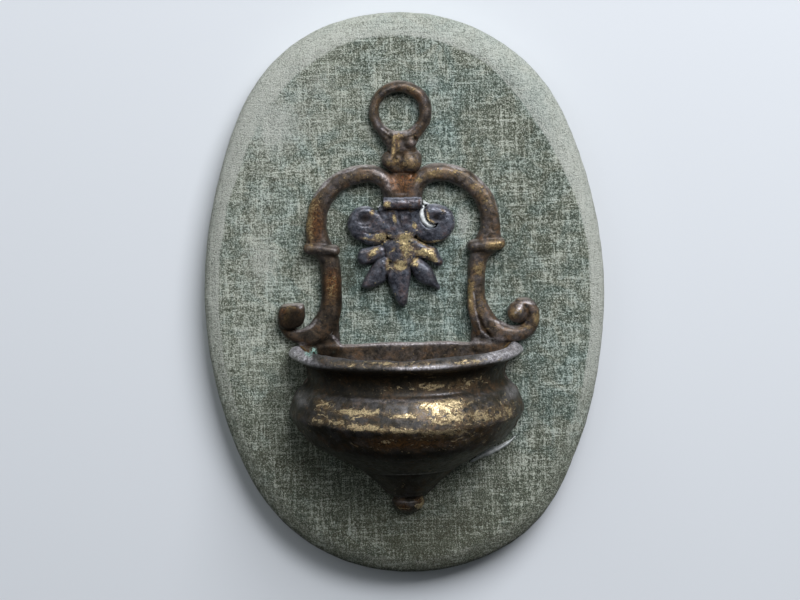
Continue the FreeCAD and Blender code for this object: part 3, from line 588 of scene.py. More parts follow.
class Graph(Wiring):
    """A material's nodes."""

    def __init__(self, name: str) -> None:
        """Start a material.

        Args:
            name: Its name.
        """
        self.material = bpy.data.materials.new(name)
        self.material.use_nodes = True
        super().__init__(self.material.node_tree)

    def noise(self, size: float, detail: float = 2.0, rough: float = 0.5, warp: float = 0.0,
              stretch: Sequence[float] = (1.0, 1.0, 1.0)) -> Socket:
        """Noise from 0 to 1 over the piece.

        Args:
            size: Size of its features in millimetres.
            detail: Layers of finer noise.
            rough: Strength of those layers.
            warp: How much it is twisted.
            stretch: How much it is squeezed along each axis.

        Returns:
            The noise.
        """
        spot = self.node("ShaderNodeTexCoord").outputs["Object"]
        scale = tuple(s / MM for s in stretch)
        place = self.node("ShaderNodeVectorMath", {0: spot, 1: scale}, operation="MULTIPLY").outputs[0]
        return self.node("ShaderNodeTexNoise", {"Vector": place, "Scale": 1.0 / size, "Detail": detail,
                                                "Roughness": rough, "Distortion": warp}).outputs["Fac"]

    def span(self, value: object, low: float, high: float, start: float = 0.0,
             end: float = 1.0) -> Socket:
        """Turn low to high smoothly into start to end."""
        return self.node("ShaderNodeMapRange", {0: value, 1: low, 2: high, 3: start, 4: end},
                         interpolation_type="SMOOTHSTEP").outputs[0]

    def blend(self, share: object, a: object, b: object, way: str = "MIX") -> Socket:
        """Mix of two colours."""
        return self.node("ShaderNodeMix", {0: share, 6: a, 7: b}, data_type="RGBA",
                         blend_type=way).outputs[2]

    def value(self, name: str) -> Socket:
        """A value stored on the mesh's points."""
        return self.node("ShaderNodeAttribute", attribute_name=name).outputs["Fac"]

    def bump(self, height: object, depth: float) -> Socket:
        """Bumps of a depth in millimetres."""
        return self.node("ShaderNodeBump", {"Height": height, "Distance": depth * MM,
                                            "Strength": 1.0}).outputs[0]

    def surface(self, **inputs: object) -> bpy.types.Material:
        """Finish with a plain shader.

        Args:
            **inputs: What goes into its sockets; an underscore in a name stands for a space.

        Returns:
            The material.
        """
        shader = self.node("ShaderNodeBsdfPrincipled", {k.replace("_", " "): v for k, v in inputs.items()})
        self.node("ShaderNodeOutputMaterial", {"Surface": shader.outputs[0]})
        return self.material

    def seen_only(self, seen: object, colour: Colour) -> bpy.types.Material:
        """Finish with dull paint that shows to some rays and is clear to the others.

        Args:
            seen: 1 where it shows.
            colour: The paint's colour.

        Returns:
            The material.
        """
        paint = self.node("ShaderNodeBsdfDiffuse", {"Color": colour}).outputs[0]
        clear = self.node("ShaderNodeBsdfTransparent").outputs[0]
        both = self.node("ShaderNodeMixShader", {0: seen, 1: clear, 2: paint})
        self.node("ShaderNodeOutputMaterial", {"Surface": both.outputs[0]})
        return self.material


class ShapeTree(Wiring):
    """A Geometry Nodes tree with named inputs, among them the finish of what it makes."""

    def __init__(self, name: str, sockets: dict[str, str]) -> None:
        """Make the tree and its inputs.

        Args:
            name: The tree's name.
            sockets: Kind of each input, by name.
        """
        super().__init__(bpy.data.node_groups.new(name, "GeometryNodeTree"))
        face = self.tree.interface
        face.new_socket("Geometry", in_out="INPUT", socket_type="NodeSocketGeometry")
        self.sockets: dict[str, str] = {}
        for key, kind in {**sockets, "Finish": "Material"}.items():
            made = face.new_socket(key, in_out="INPUT", socket_type="NodeSocket" + kind)
            self.sockets[key] = made.identifier
        face.new_socket("Geometry", in_out="OUTPUT", socket_type="NodeSocketGeometry")
        self.given = self.node("NodeGroupInput").outputs

    def end(self, shape: Socket) -> None:
        """Make the tree's copies real and give them their finish.

        Args:
            shape: What the tree has made.
        """
        real = self.node("GeometryNodeRealizeInstances", {0: shape}).outputs[0]
        paint = self.node("GeometryNodeSetMaterial", {"Geometry": real, "Material": self.given["Finish"]})
        self.node("NodeGroupOutput", {0: paint.outputs[0]})

    def run(self, name: str, points: Rows, edges: Rows, settings: dict[str, object]) -> bpy.types.Mesh:
        """Run the tree and return a plain mesh.

        Args:
            name: Name of the carrier, which is deleted afterwards.
            points: The carrier's points, in metres.
            edges: Its edges.
            settings: Values for the inputs, by name.

        Returns:
            The mesh that comes out.
        """
        given = bpy.data.meshes.new(name)
        given.from_pydata(points, edges, [])
        carrier = placed(name, given)
        modifier = carrier.modifiers.new("Tree", "NODES")
        modifier.node_group = self.tree
        for key, value in settings.items():
            modifier[self.sockets[key]] = value
        scene = bpy.context.evaluated_depsgraph_get()
        mesh = bpy.data.meshes.new_from_object(carrier.evaluated_get(scene))
        carrier.modifiers.remove(modifier)
        bpy.data.objects.remove(carrier)
        return mesh


# ---- Finishes ----------------------------------------------------------------------------------
@dataclass(frozen=True)
class OldBronze:
    """Old cast bronze with dark patina, a dull film and what is left of its gilding."""
    name: str
    dark: Colour = tint(31, 28, 24)
    brown: Colour = tint(84, 71, 56)
    warm: Colour = tint(104, 74, 44)
    film: Colour = tint(114, 110, 112)
    # light colour of dust on up-facing faces, which also paints their top light
    dust_and_top_light: Colour = tint(178, 170, 162)
    gold: Colour = tint(182, 158, 112)
    tan: Colour = tint(134, 110, 74)
    # dark colour of what gathers in the corners and of painted shade
    grime_and_shade: Colour = tint(22, 18, 13)
    rust: tuple[Colour, Colour] = (tint(48, 33, 21), tint(138, 90, 46))
    # light colours for painted highlights and glints, and for worn-through spots
    highlight_and_rub: tuple[Colour, Colour] = (tint(124, 114, 114), tint(194, 190, 188))
    green: tuple[Colour, Colour] = (tint(62, 120, 104), tint(176, 204, 192))
    film_share: float = 0.16
    # how strongly up-facing faces take that colour of dust and painted top light
    dust_and_top_light_share: float = 0.6
    # how much worn edges lighten to the film colour, which is also a painted edge highlight
    edge_share: float = 0.4
    warm_share: float = 0.3
    worn: float = 0.8
    gold_dust: float = 0.0
    flake: float = 1.6          # size of the gold's torn flakes, in millimetres
    flake_stretch: tuple[float, float, float] = (0.8, 0.8, 1.2)
    worm: float = 1.1           # size of the bare lines through them
    gloss: tuple[float, float] = (0.28, 0.5)
    metal: float = 0.3
    gilt_metal: float = 0.45
    grain: float = 0.154        # depth of the cast skin's bumps, in millimetres

    def patina(self, g: Graph, cloud: Socket, mottle: Socket, fine: Socket) -> Socket:
        """Colour of the bare metal with its film and rust, its painted highlights with some worn-through
        spots, and its painted shade.

        Args:
            g: The material's graph.
            cloud: Broad noise.
            mottle: Middling noise.
            fine: Fine noise.

        Returns:
            The colour.
        """
        gilt, edge, hollow = g.value("gilt"), g.value("edge"), g.value("hollow")
        broad = g.plus(g.times(mottle, 0.6), g.times(cloud, 0.4))
        base = g.blend(g.span(broad, 0.32, 0.66), self.dark, self.brown)
        heat = g.times(g.span(cloud, 0.46, 0.66), g.span(mottle, 0.4, 0.62))
        base = g.blend(g.times(heat, self.warm_share * 2.0, True), base, self.warm)
        haze = g.span(g.noise(3.2, 3.0, 0.6, 0.8), 0.42, 0.66, 0.0, self.film_share * 2.0)
        base = g.blend(g.times(haze, g.span(hollow, 0.5, 0.0), True), base, self.film)
        # Worn edges lighten to the film colour; this also paints a highlight along the edges.
        edge_wear_and_highlight = g.span(fine, 0.35, 0.65, 0.1 * self.edge_share, self.edge_share)
        base = g.blend(g.times(edge, edge_wear_and_highlight, True), base, self.film)
        worn = g.times(g.span(gilt, 0.1, 1.0, 0.0, self.worn), g.span(mottle, 0.36, 0.58))
        base = g.blend(worn, base, self.tan)
        crumbs = g.span(g.noise(0.7, 4.0, 0.7, 0.5), 0.38, 0.62)
        base = g.blend(g.span(g.value("rust"), 0.1, 1.0, 0.0, 0.9), base, g.blend(crumbs, *self.rust))
        # painted highlights and glints, mixed with some worn-through spots
        rubbed_and_lit = g.times(g.span(g.value("highlight_and_rub"), 0.15, 0.95), g.span(crumbs, 0.0, 0.8, 0.3, 0.95))
        base = g.blend(rubbed_and_lit, base, g.blend(g.span(mottle, 0.35, 0.65), *self.highlight_and_rub))
        # darker in the corners, where filth gathers, and at the darkened spots, which are mostly painted
        # shade
        base = g.blend(g.times(hollow, 0.85, True), base, self.grime_and_shade)
        # dust on up-facing faces, with a painted top light in the same colour
        dust_and_top_light = g.times(g.value("dust"), g.span(fine, 0.25, 0.6, 0.35, 1.0))
        base = g.blend(g.times(dust_and_top_light, self.dust_and_top_light_share, True), base, self.dust_and_top_light)
        return g.blend(1.0, base, g.span(g.noise(0.34, 2.0, 0.6), 0.3, 0.7, 0.6, 1.4), "MULTIPLY")

    def gilding(self, g: Graph) -> Socket:
        """Where gold is left: torn flakes with fine bare lines through them, and specks.

        Args:
            g: The material's graph.

        Returns:
            The gold's share.
        """
        gilt, edge, hollow = g.value("gilt"), g.value("edge"), g.value("hollow")
        torn = g.noise(self.flake, 6.0, 0.70, 1.1, self.flake_stretch)
        wanted = g.plus(g.times(gilt, 0.19), g.times(edge, 0.03))
        leaf = g.span(g.plus(torn, wanted), 0.655, 0.70)
        bare = g.math("ABSOLUTE", g.minus(g.noise(self.worm, 3.0, 0.6, 1.6), 0.5))
        leaf = g.times(leaf, g.span(bare, 0.008, 0.045))
        specks = g.plus(g.noise(0.55, 4.0, 0.7, 0.6), g.times(gilt, 0.08))
        dust = g.span(specks, 0.695 - self.gold_dust * 0.35, 0.74 - self.gold_dust * 0.3)
        leaf = g.math("MAXIMUM", leaf, g.times(dust, 0.6))
        return g.times(leaf, g.span(hollow, 0.85, 0.25))

    def make(self) -> bpy.types.Material:
        """Build the material.  It reads the values edge, hollow, dust, gilt, rust, highlight_and_rub and
        green; edge, dust and highlight_and_rub also paint highlights, and hollow also paints shade.

        Returns:
            The material.
        """
        g = Graph(self.name)
        hollow = g.value("hollow")
        cloud, mottle, fine = g.noise(5.0, 3.0, 0.55), g.noise(1.5, 4.0, 0.62, 0.5), g.noise(0.42, 3.0, 0.6)
        leaf = self.gilding(g)
        gold = g.blend(g.span(fine, 0.34, 0.58), tuple(c * 0.5 for c in self.gold), self.gold)
        colour = g.blend(leaf, self.patina(g, cloud, mottle, fine), gold)
        crust = g.times(g.span(g.value("green"), 0.1, 0.8), g.span(g.noise(0.6, 4.0, 0.7), 0.44, 0.56))
        colour = g.blend(crust, colour, g.blend(g.span(fine, 0.35, 0.6), *self.green))
        rough = g.plus(g.span(mottle, 0.3, 0.7, *self.gloss), g.times(hollow, 0.3))
        rough = g.plus(rough, g.times(crust, 0.3), True)
        metal = g.minus(g.plus(g.times(leaf, self.gilt_metal), self.metal), crust, True)
        height = g.plus(g.times(mottle, 0.5), g.times(fine, 0.4))
        height = g.plus(g.plus(height, g.times(leaf, 0.5)), crust)
        return g.surface(Base_Color=colour, Metallic=metal, Roughness=rough,
                         Specular_IOR_Level=g.span(hollow, 0.0, 1.0, 0.5, 0.06),
                         Normal=g.bump(height, self.grain))


@dataclass(frozen=True)
class OldVelvet:
    """Worn velvet: a thin, crushed pile over its weave, olive in places and blue-green in others."""
    name: str
    olive: tuple[Colour, Colour, Colour] = (tint(74, 80, 67), tint(130, 136, 119), tint(200, 205, 190))
    teal: tuple[Colour, Colour, Colour] = (tint(60, 80, 75), tint(112, 134, 127), tint(184, 203, 196))
    # light colour of worn pile, also laid on as painted light
    rubbed_and_lit: Colour = tint(198, 201, 190)
    # colour of brown stains, of soiling and of painted shade
    stain_and_shade: Colour = tint(70, 64, 46)
    sheen: Colour = tint(205, 212, 196)
    pile: float = 0.5           # depth of the pile's bumps, in millimetres

    def weave(self, g: Graph) -> Socket:
        """Height of pile and threads.

        Args:
            g: The material's graph.

        Returns:
            The height, from 0 to about 1.
        """
        upright = g.noise(1.0, 2.0, 0.6, 0.0, (2.7, 1.0, 1.25))
        across = g.noise(1.0, 2.0, 0.6, 0.0, (1.25, 1.0, 2.7))
        tuft = g.noise(0.42, 3.0, 0.7)
        total = g.times(g.minus(g.plus(upright, across), 1.0), 0.38)
        total = g.plus(total, g.times(g.minus(tuft, 0.5), 1.35))
        patch = g.noise(7.0, 4.0, 0.66, 0.6)
        for stretch in ((1.25, 1.0, 0.11), (0.11, 1.0, 1.25)):
            streak = g.span(g.noise(1.0, 2.0, 0.5, 0.0, stretch), 0.42, 0.76, -0.04, 0.18)
            total = g.plus(total, g.times(streak, g.span(patch, 0.3, 0.7, 0.3, 1.1)))
        return g.plus(g.plus(total, 0.5), g.times(g.minus(patch, 0.5), 0.30))

    def ramp(self, g: Graph, weave: Socket, tones: Sequence[Colour]) -> Socket:
        """Dark hollows, the pile and its light tips."""
        colour = g.blend(g.span(weave, 0.34, 0.53), tones[0], tones[1])
        return g.blend(g.span(weave, 0.49, 0.72), colour, tones[2])

    def make(self) -> bpy.types.Material:
        """Build the material.  It reads the values fade, soil and teal.

        Returns:
            The material.
        """
        g = Graph(self.name)
        # fade_and_light holds worn pile with painted light; soil_and_shade holds soiling with painted
        # shade.
        fade_and_light, soil_and_shade = g.value("fade_and_light"), g.value("soil_and_shade")
        weave = g.plus(self.weave(g), g.times(fade_and_light, 0.1))
        weave = g.minus(weave, g.times(soil_and_shade, 0.07))
        hue = g.plus(g.value("teal"), g.span(g.noise(9.0, 3.0, 0.6, 0.8), 0.3, 0.7, -0.45, 0.2), True)
        colour = g.blend(hue, self.ramp(g, weave, self.olive), self.ramp(g, weave, self.teal))
        grain = g.noise(0.4, 2.0, 0.6)
        brown = g.span(g.noise(11.0, 4.0, 0.65, 1.0), 0.46, 0.68, 0.0, 0.3)
        colour = g.blend(g.times(brown, g.span(weave, 0.62, 0.4)), colour, self.stain_and_shade)
        # worn pile made lighter, together with painted light on the lit bevel and beside the castings
        worn = g.times(g.span(fade_and_light, 0.3, 1.0), g.span(weave, 0.34, 0.7, 0.38, 0.94))
        colour = g.blend(worn, colour, self.rubbed_and_lit)
        # soiling, with painted shade under the bowl and towards the bottom
        dirt_and_shade = g.times(g.span(soil_and_shade, 0.2, 1.2), g.span(grain, 0.3, 0.7, 0.75, 0.3))
        colour = g.blend(dirt_and_shade, colour, self.stain_and_shade)
        height = g.plus(g.times(weave, 1.2), grain)
        return g.surface(Base_Color=colour, Roughness=0.92, Sheen_Weight=0.3, Sheen_Roughness=0.45,
                         Sheen_Tint=self.sheen, Specular_IOR_Level=0.12, Normal=g.bump(height, self.pile))


@dataclass(frozen=True)
class PlainFinish:
    """A mottled finish for the small and hidden pieces."""
    name: str
    first: Colour
    second: Colour
    size: float = 1.5
    metal: float = 0.0
    rough: tuple[float, float] = (0.4, 0.65)
    depth: float = 0.05
    stretch: tuple[float, float, float] = (1.0, 1.0, 1.0)
    spots: Colour | None = None

    def make(self) -> bpy.types.Material:
        """Build the material.

        Returns:
            The material.
        """
        g = Graph(self.name)
        coarse = g.noise(self.size, 4.0, 0.6, 0.4, self.stretch)
        fine = g.noise(self.size * 0.22, 3.0, 0.6, 0.0, self.stretch)
        mottle = g.span(g.plus(g.times(coarse, 0.7), g.times(fine, 0.3)), 0.36, 0.62)
        colour = g.blend(mottle, self.first, self.second)
        if self.spots is not None:
            share = g.span(g.noise(self.size * 1.6, 5.0, 0.7, 0.7), 0.60, 0.68, 0.0, 0.8)
            colour = g.blend(share, colour, self.spots)
        height = g.plus(coarse, g.times(fine, 0.6))
        return g.surface(Base_Color=colour, Metallic=self.metal,
                         Roughness=g.span(fine, 0.3, 0.7, *self.rough),
                         Normal=g.bump(height, self.depth))


RUST_SPOTS = tint(112, 66, 40)
BRASS_SPOTS = tint(82, 66, 48)
FRAME_FINISH = OldBronze("Frame bronze")
# The bowl and the palmette have their own colours for dust with painted top light; the bowl also has its
# own lighter colours for painted highlights.
BOWL_FINISH = OldBronze(
    "Bowl bronze", dark=tint(26, 25, 19), brown=tint(54, 47, 33), film=tint(102, 101, 103),
    dust_and_top_light=tint(142, 148, 158), dust_and_top_light_share=0.12, edge_share=0.7, rust=(tint(42, 31, 18), tint(98, 68, 36)),
    highlight_and_rub=(tint(134, 130, 132), tint(214, 212, 214)), warm_share=0.2, worn=0.5, gold_dust=0.08,
    gold=tint(226, 204, 158), flake=2.3, flake_stretch=(0.62, 0.62, 1.25))
PALMETTE_FINISH = OldBronze(
    "Palmette bronze", dark=tint(38, 39, 46), brown=tint(80, 81, 88), warm=tint(102, 80, 74),
    film=tint(112, 118, 128), dust_and_top_light=tint(170, 178, 190), gold=tint(232, 210, 156), film_share=0.22,
    gloss=(0.24, 0.4), worm=0.8, gilt_metal=0.3)
VELVET_FINISH = OldVelvet("Sage velvet")
TACK_FINISH = PlainFinish("Tack steel", tint(104, 98, 94), tint(58, 50, 46), 0.8, 0.85, (0.35, 0.6), 0.06,
                          spots=tint(124, 70, 42))
LINING_FINISH = PlainFinish("Lining paper", tint(176, 152, 112), tint(148, 122, 86), 9.0, 0.0, (0.8, 0.95),
                            0.04, spots=tint(122, 92, 60))
GLUE_FINISH = PlainFinish("Old glue", tint(180, 184, 183), tint(222, 226, 222), 0.9, 0.0, (0.3, 0.6), 0.08)
CAD_FINISHES = {
    "brazed_seam": PlainFinish("Brazing", tint(120, 96, 58), tint(70, 58, 44), 1.2, 0.8,
                               spots=tint(70, 130, 110)),
    "ring_dowel": PlainFinish("Rusted iron", tint(74, 44, 32), tint(126, 70, 42), 1.0, 0.4, (0.6, 0.85),
                              0.1),
    "palmette_rivet": PlainFinish("Rivet iron", tint(84, 70, 62), tint(122, 84, 60), 1.0, 0.7),
    "oval_board": PlainFinish("Board wood", tint(128, 88, 54), tint(168, 124, 80), 6.0, 0.0, (0.55, 0.75),
                              0.12, (1.6, 1.0, 0.12)),
    "infill_card": PlainFinish("Grey card", tint(138, 128, 110), tint(112, 102, 88), 0.8, 0.0, (0.8, 0.95),
                               0.03),
    "mounting_screws": PlainFinish("Screw steel", tint(128, 126, 122), tint(94, 88, 82), 1.2, 0.9,
                                   spots=RUST_SPOTS),
    "screw_washers": PlainFinish("Washer steel", tint(140, 138, 134), tint(100, 94, 88), 1.2, 0.9,
                                 spots=RUST_SPOTS),
    "hanger_tab": PlainFinish("Hanger brass", tint(176, 142, 78), tint(112, 88, 52), 1.8, 0.95, (0.3, 0.5),
                              0.04, spots=BRASS_SPOTS),
    "hanger_loop": PlainFinish("Loop brass", tint(184, 150, 84), tint(124, 98, 58), 1.6, 0.95, (0.28, 0.48),
                               0.03, spots=tint(90, 72, 50)),
    "hanger_nails": PlainFinish("Nail brass", tint(170, 138, 78), tint(106, 84, 52), 0.8, 0.9,
                                spots=BRASS_SPOTS),
}


# ---- Aged castings -----------------------------------------------------------------------------
@dataclass
class OldCasting:
    """A casting with its marks of age, its painted highlights and its painted shade, which are rows of a
    Mark's fields.
    """
    gilt: Rows = ()
    rust: Rows = ()
    # spots of painted highlight and glint, with some worn-through spots
    highlight_and_rub: Rows = ()
    green: Rows = ()
    # spots that are darkened, mostly painted shade
    grime_and_shade: Rows = ()
    gilt_elsewhere: float = 0.0
    rust_elsewhere: float = 0.0
    reach: int = 3              # how many points away the wear of an edge reaches
    finish: OldBronze = FRAME_FINISH
    node: str = ""              # the CAD node that it stands for
    slot: str = ""              # the record's material slot

    def model(self) -> Casting:
        """Model the casting.

        Returns:
            The casting, without its wear.
        """
        raise NotImplementedError

    def build(self) -> bpy.types.Object:
        """Model the casting and lay on its wear, its painted highlights and its painted shade.

        Returns:
            The finished piece.
        """
        casting = self.model()
        casting.weather(self.reach)
        casting.mark("gilt", self.gilt, self.gilt_elsewhere)
        casting.mark("rust", self.rust, self.rust_elsewhere)
        casting.mark("highlight_and_rub", self.highlight_and_rub)
        casting.mark("green", self.green)
        casting.darken(self.grime_and_shade)
        return casting.to_object(self.finish.make(), self.node, self.slot)


# ---- Scroll frame ------------------------------------------------------------------------------
@dataclass
class ScrollFrame(OldCasting):
    """Stem, arms, collars, legs, foot scrolls and the bowl's back plate, in one casting."""
    arm_half: float = 3.05
    arm_rise: float = 4.7
    shoulder_x: float = 12.2
    shoulder_z: float = 25.9
    bend: float = 17.2
    rim_z: float = -15.1
    plate_rise: float = 2.5
    profile: Rows = (
        (-15.1, 38.4), (-17.8, 39.8), (-19.4, 38.3), (-22.5, 34.2), (-26.1, 33.8), (-28.5, 35.2),
        (-31.0, 37.8), (-35.0, 39.4), (-37.7, 40.2), (-40.0, 39.4), (-44.5, 37.1), (-49.2, 32.5),
        (-57.1, 18.0), (-62.5, 11.4), (-67.4, 6.8))
    right_leg: Rows = (
        (26.6, 17.0, 3.6, 4.9), (25.3, 13.5, 3.2, 4.7), (24.8, 10.0, 3.05, 4.7), (24.4, 5.0, 2.95, 4.7),
        (24.3, 1.0, 3.05, 4.7), (24.7, -2.5, 3.35, 4.7), (25.9, -6.0, 3.8, 4.7), (28.2, -9.5, 3.9, 4.7),
        (32.0, -12.0, 3.5, 4.6))
    left_leg: Rows = (
        (-26.9, 17.0, 3.6, 4.9), (-25.3, 13.5, 3.45, 4.7), (-24.8, 8.5, 3.4, 4.7), (-24.7, 3.0, 3.45, 4.7),
        (-25.0, -1.5, 3.7, 4.7), (-26.1, -5.5, 4.0, 4.7), (-28.5, -9.2, 4.1, 4.7), (-32.0, -11.7, 3.3, 4.6))
    right_scroll: Rows = (
        (32.0, -12.0, 3.5, 4.6), (36.0, -12.6, 2.8, 4.5), (39.6, -12.2, 2.6, 4.4), (42.3, -10.3, 2.5, 4.4),
        (43.6, -7.0, 2.3, 4.5), (43.2, -4.1, 2.2, 4.7), (41.5, -2.3, 1.95, 4.9), (39.2, -1.9, 1.7, 5.0))
    left_scroll: Rows = (
        (-32.0, -11.7, 3.3, 4.6), (-36.0, -12.0, 2.3, 4.4), (-38.9, -11.0, 2.1, 4.3),
        (-40.8, -8.6, 1.95, 4.4), (-41.3, -5.6, 1.6, 4.7), (-40.4, -3.0, 1.3, 4.8))
    gilt: Rows = (
        (-30, 32, 2.5, 8, 0.55, -20), (-31.2, 24.5, 1.0, 4, 0.8), (30, 33, 3, 7, 0.4, 35),
        (5.6, 40.9, 1.6, 0.9, 1.5, 35), (10.2, 43.0, 2.6, 1.6, 0.9, 15), (17, 43.4, 4, 1.4, 0.6),
        (24, 38.8, 4, 1.6, 0.6, -45), (30.8, 18.4, 3.2, 1.5, 1.5), (-32.0, 19.4, 1.6, 1.6, 0.5),
        (25.4, 10.4, 2.0, 2.4, 1.1), (22.4, 0, 0.9, 5, 1.2, 5), (44.6, -6.6, 1.2, 2.4, 1.2),
        (-39.3, -3.5, 0.7, 2.6, 0.7), (23.0, 4, 1.0, 3, 0.9), (-32.2, 30, 1.6, 5, 0.5, -10),
        (25.8, -2, 1.4, 5, 0.5), (38.5, -3, 3, 2, 0.3), (36.4, -5.4, 1.6, 1.8, 0.9),
        (41.2, -9.8, 2.2, 1.0, 0.9), (-24.5, 5, 2.2, 5, 0.8), (-16, 42.6, 6, 1.8, 0.4),
        (-40.6, -4.4, 0.9, 2.4, 0.9), (-38.6, -1.4, 2.2, 0.7, 0.9))
    gilt_elsewhere: float = 0.1
    rust: Rows = (
        (0.6, 39.5, 4.2, 4.6, 0.75), (-4.0, 40.6, 2.4, 3, 0.5), (3.4, 42.0, 2.0, 1.2, 0.7, 30),
        (-24.5, 6, 3.0, 6, 0.95), (-29.5, 27, 3, 8, 0.85), (26, -6, 2, 5, 0.3),
        (-41.0, -2.6, 1.2, 1.2, 0.8))
    # painted highlights: lines on the arms' rims, the plate's top edge and the feet, with some worn-through
    # spots
    highlight_and_rub: Rows = (
        (-6.8, 42.8, 2.6, 0.9, 0.45, -52), (-4.8, 39.4, 1.0, 2.8, 0.6, 20), (5.0, 40.0, 0.5, 2.2, 0.6, -28),
        (0.0, 36.2, 3.0, 0.6, 0.5), (33.4, 21.6, 0.6, 1.8, 1.0, 14), (0, -15.2, 26, 0.75, 0.8),
        (-23.6, -13.3, 2.8, 0.6, 1.2, -48), (24.6, -13.6, 2.4, 0.8, 0.5, 40),
        (42.4, -1.6, 2.0, 0.6, 1.0, -20), (33.0, -8.7, 5.6, 0.5, 0.9, -22), (23.6, 1.0, 0.3, 3.4, 1.0, 8),
        (24.6, -6.6, 0.35, 4.4, 1.0, 14), (27.2, -12.4, 2.0, 0.5, 1.0, -48),
        (38.5, -3.5, 2.6, 0.5, 1.2, 48), (-31.0, -7.2, 1.8, 0.6, 1.1, 52), (-33.6, -9.0, 2.0, 0.6, 1.1, 26),
        (-36.6, -9.9, 2.2, 0.5, 0.9, 6), (-38.0, -0.6, 3.4, 0.5, 0.9), (-35.2, -1.2, 0.9, 0.9, 1.0),
        (-25.9, 40.4, 4.5, 0.7, 1.5, 45), (-17.8, 44.9, 4.6, 0.7, 1.5, 18), (-12.2, 46.0, 2.4, 0.5, 1.1),
        (-29.9, 36.0, 2.4, 0.5, 1.1, 58), (18.0, 44.9, 4.0, 0.6, 1.1, -18),
        (27.0, 39.3, 4.0, 0.6, 1.0, -47), (4, -18.6, 28, 2.6, 0.26), (31.6, 32, 0.5, 5, 0.6, 12),
        (30.6, -14.2, 4.4, 1.3, 0.75), (-35.2, -14.4, 1.8, 0.9, 0.9))
    green: Rows = (
        (-31.4, -17.2, 1.3, 1.5, 0.9), (-24.5, -17.5, 1.4, 1.2, 0.18))
    # darkening: painted shade in the bowl's mouth, and darker spots on the left arm, leg and foot and along
    # the legs' edges
    grime_and_shade: Rows = (
        (-27, -17.7, 5, 2.2, 1.6), (0, -18.0, 34, 2.4, 0.26), (-24.5, -3, 4, 8, 0.45),
        (-30, 29, 4, 12, 0.42), (0, 38, 3, 2, 0.25), (-25, 8, 4, 9, 0.33), (-34, -9, 7, 4, 0.25),
        (-18, 43, 8, 3, 0.2), (-38.4, -5.4, 5.4, 5.6, 1.1), (-22.3, 2, 0.9, 10, 0.5),
        (-27.4, 2, 0.7, 9, 0.3), (-33, -12.5, 5, 2.5, 0.4), (28.6, -11.8, 1.6, 0.9, 0.9, -30),
        (-24, -8, 3, 4, 0.25), (26.0, -8.6, 0.7, 3.6, 0.6, 18))
    node: str = "scroll_frame"
    slot: str = "frame_bronze"

    def arm(self) -> list[tuple[float, ...]]:
        """Right arm, from the binding roll over the shoulder to its collar.

        Returns:
            Points of x, z, half width and height.
        """
        rise = self.arm_rise
        rows = [(3.3, 31.5, 3.1, 4.4), (3.5, 36.0, 3.3, rise), (5.1, 39.9, 3.1, rise),
                (8.2, 42.3, 3.0, rise)]
        for angle in (90, 68, 45, 22, 0):
            turn = math.radians(angle)
            rows.append((self.shoulder_x + self.bend * math.cos(turn),
                         self.shoulder_z + self.bend * math.sin(turn),
                         self.arm_half + 0.35 * (1 - angle / 90), rise))
        return rows + [(29.3, 22.2, 3.8, rise), (28.6, 19.0, 4.2, rise + 0.2)]

    def plate(self, clay: Clay) -> np.ndarray:
        """Distances to the flat back of the bowl.

        Args:
            clay: The block.

        Returns:
            Distances over the block.
        """
        heights, widths = np.array(self.profile[::-1]).T
        side = (np.abs(clay.plan_x) - np.interp(clay.plan_z, heights, widths)) * 0.85
        wave = 0.12 * np.sin(clay.plan_x * 0.31 + 0.5) + 0.0010 * clay.plan_x ** 2 - 0.35
        flat = np.maximum(np.maximum(side, clay.plan_z - self.rim_z + wave),
                          self.profile[-1][0] - clay.plan_z)
        return clay.slab(flat, self.plate_rise, 0.8, 0.0)

    def model(self) -> Casting:
        """Model the casting.

        Returns:
            The casting, without its wear.
        """
        clay = Clay((-47.2, 13.2, -69.0), (47.2, 21.2, 47.4), 0.38)
        clay.add(clay.bar([(0, 31.2, 5.4, 3.4), (0, 38.0, 4.8, 3.9), (0, 42.2, 3.6, 3.6)], 1.4, 0.2))
        clay.add_bars((self.arm(), flipped(self.arm()), self.right_leg, self.left_leg), 2.1, 0.9, 0.8)
        for side in (1, -1):
            web = [(side * 25.6, -9.5, 3.2, 2.7), (side * 27.5, -14.0, 5.0, 2.6),
                   (side * 33.0, -15.2, 3.2, 2.6)]
            clay.add(clay.bar(web, 1.0, 0.0), 1.6)
        clay.add_bars([self.right_scroll], 1.9, 0.7, 0.6)
        clay.add_bars([self.left_scroll], 1.7, 0.7, 0.6)
        clay.add(self.plate(clay), 1.4)
        clay.groove(0.4, [(35.4, -7.6, 0.5, 4.4), (36.8, -9.2, 0.9, 3.8), (39.3, -9.5, 0.95, 3.6),
                          (41.4, -8.2, 0.8, 4.0), (42.0, -6.2, 0.4, 4.8)])
        clay.groove(0.4, [(-35.6, -8.6, 0.6, 4.2), (-37.6, -9.9, 0.6, 4.2), (-39.6, -8.6, 0.55, 4.5),
                          (-40.2, -6.0, 0.35, 5.0)])
        clay.add(clay.knob(38.4, -4.9, 3.75, 6.2), 0.3)
        clay.add(clay.leaf([(-43.0, -5.0), (-42.8, -2.8), (-41.8, -1.3), (-39.8, -0.8), (-35.2, -0.6),
                            (-34.1, -1.6), (-34.0, -5.0), (-34.8, -7.4), (-36.6, -8.6), (-38.8, -9.4),
                            (-41.2, -9.0), (-42.6, -7.4)], 5.9, 1.1, 0.7), 0.4)
        clay.groove(0.3, [(39.0, -7.4, 0.2, 5.9), (40.6, -5.4, 0.5, 5.5), (41.4, -3.6, 0.45, 5.4),
                          (40.9, -2.4, 0.2, 5.6)])
        clay.groove(0.3, [(-40.2, -0.6, 0.2, 5.8), (-40.6, -3.6, 0.35, 6.0), (-40.2, -7.2, 0.2, 6.0)])
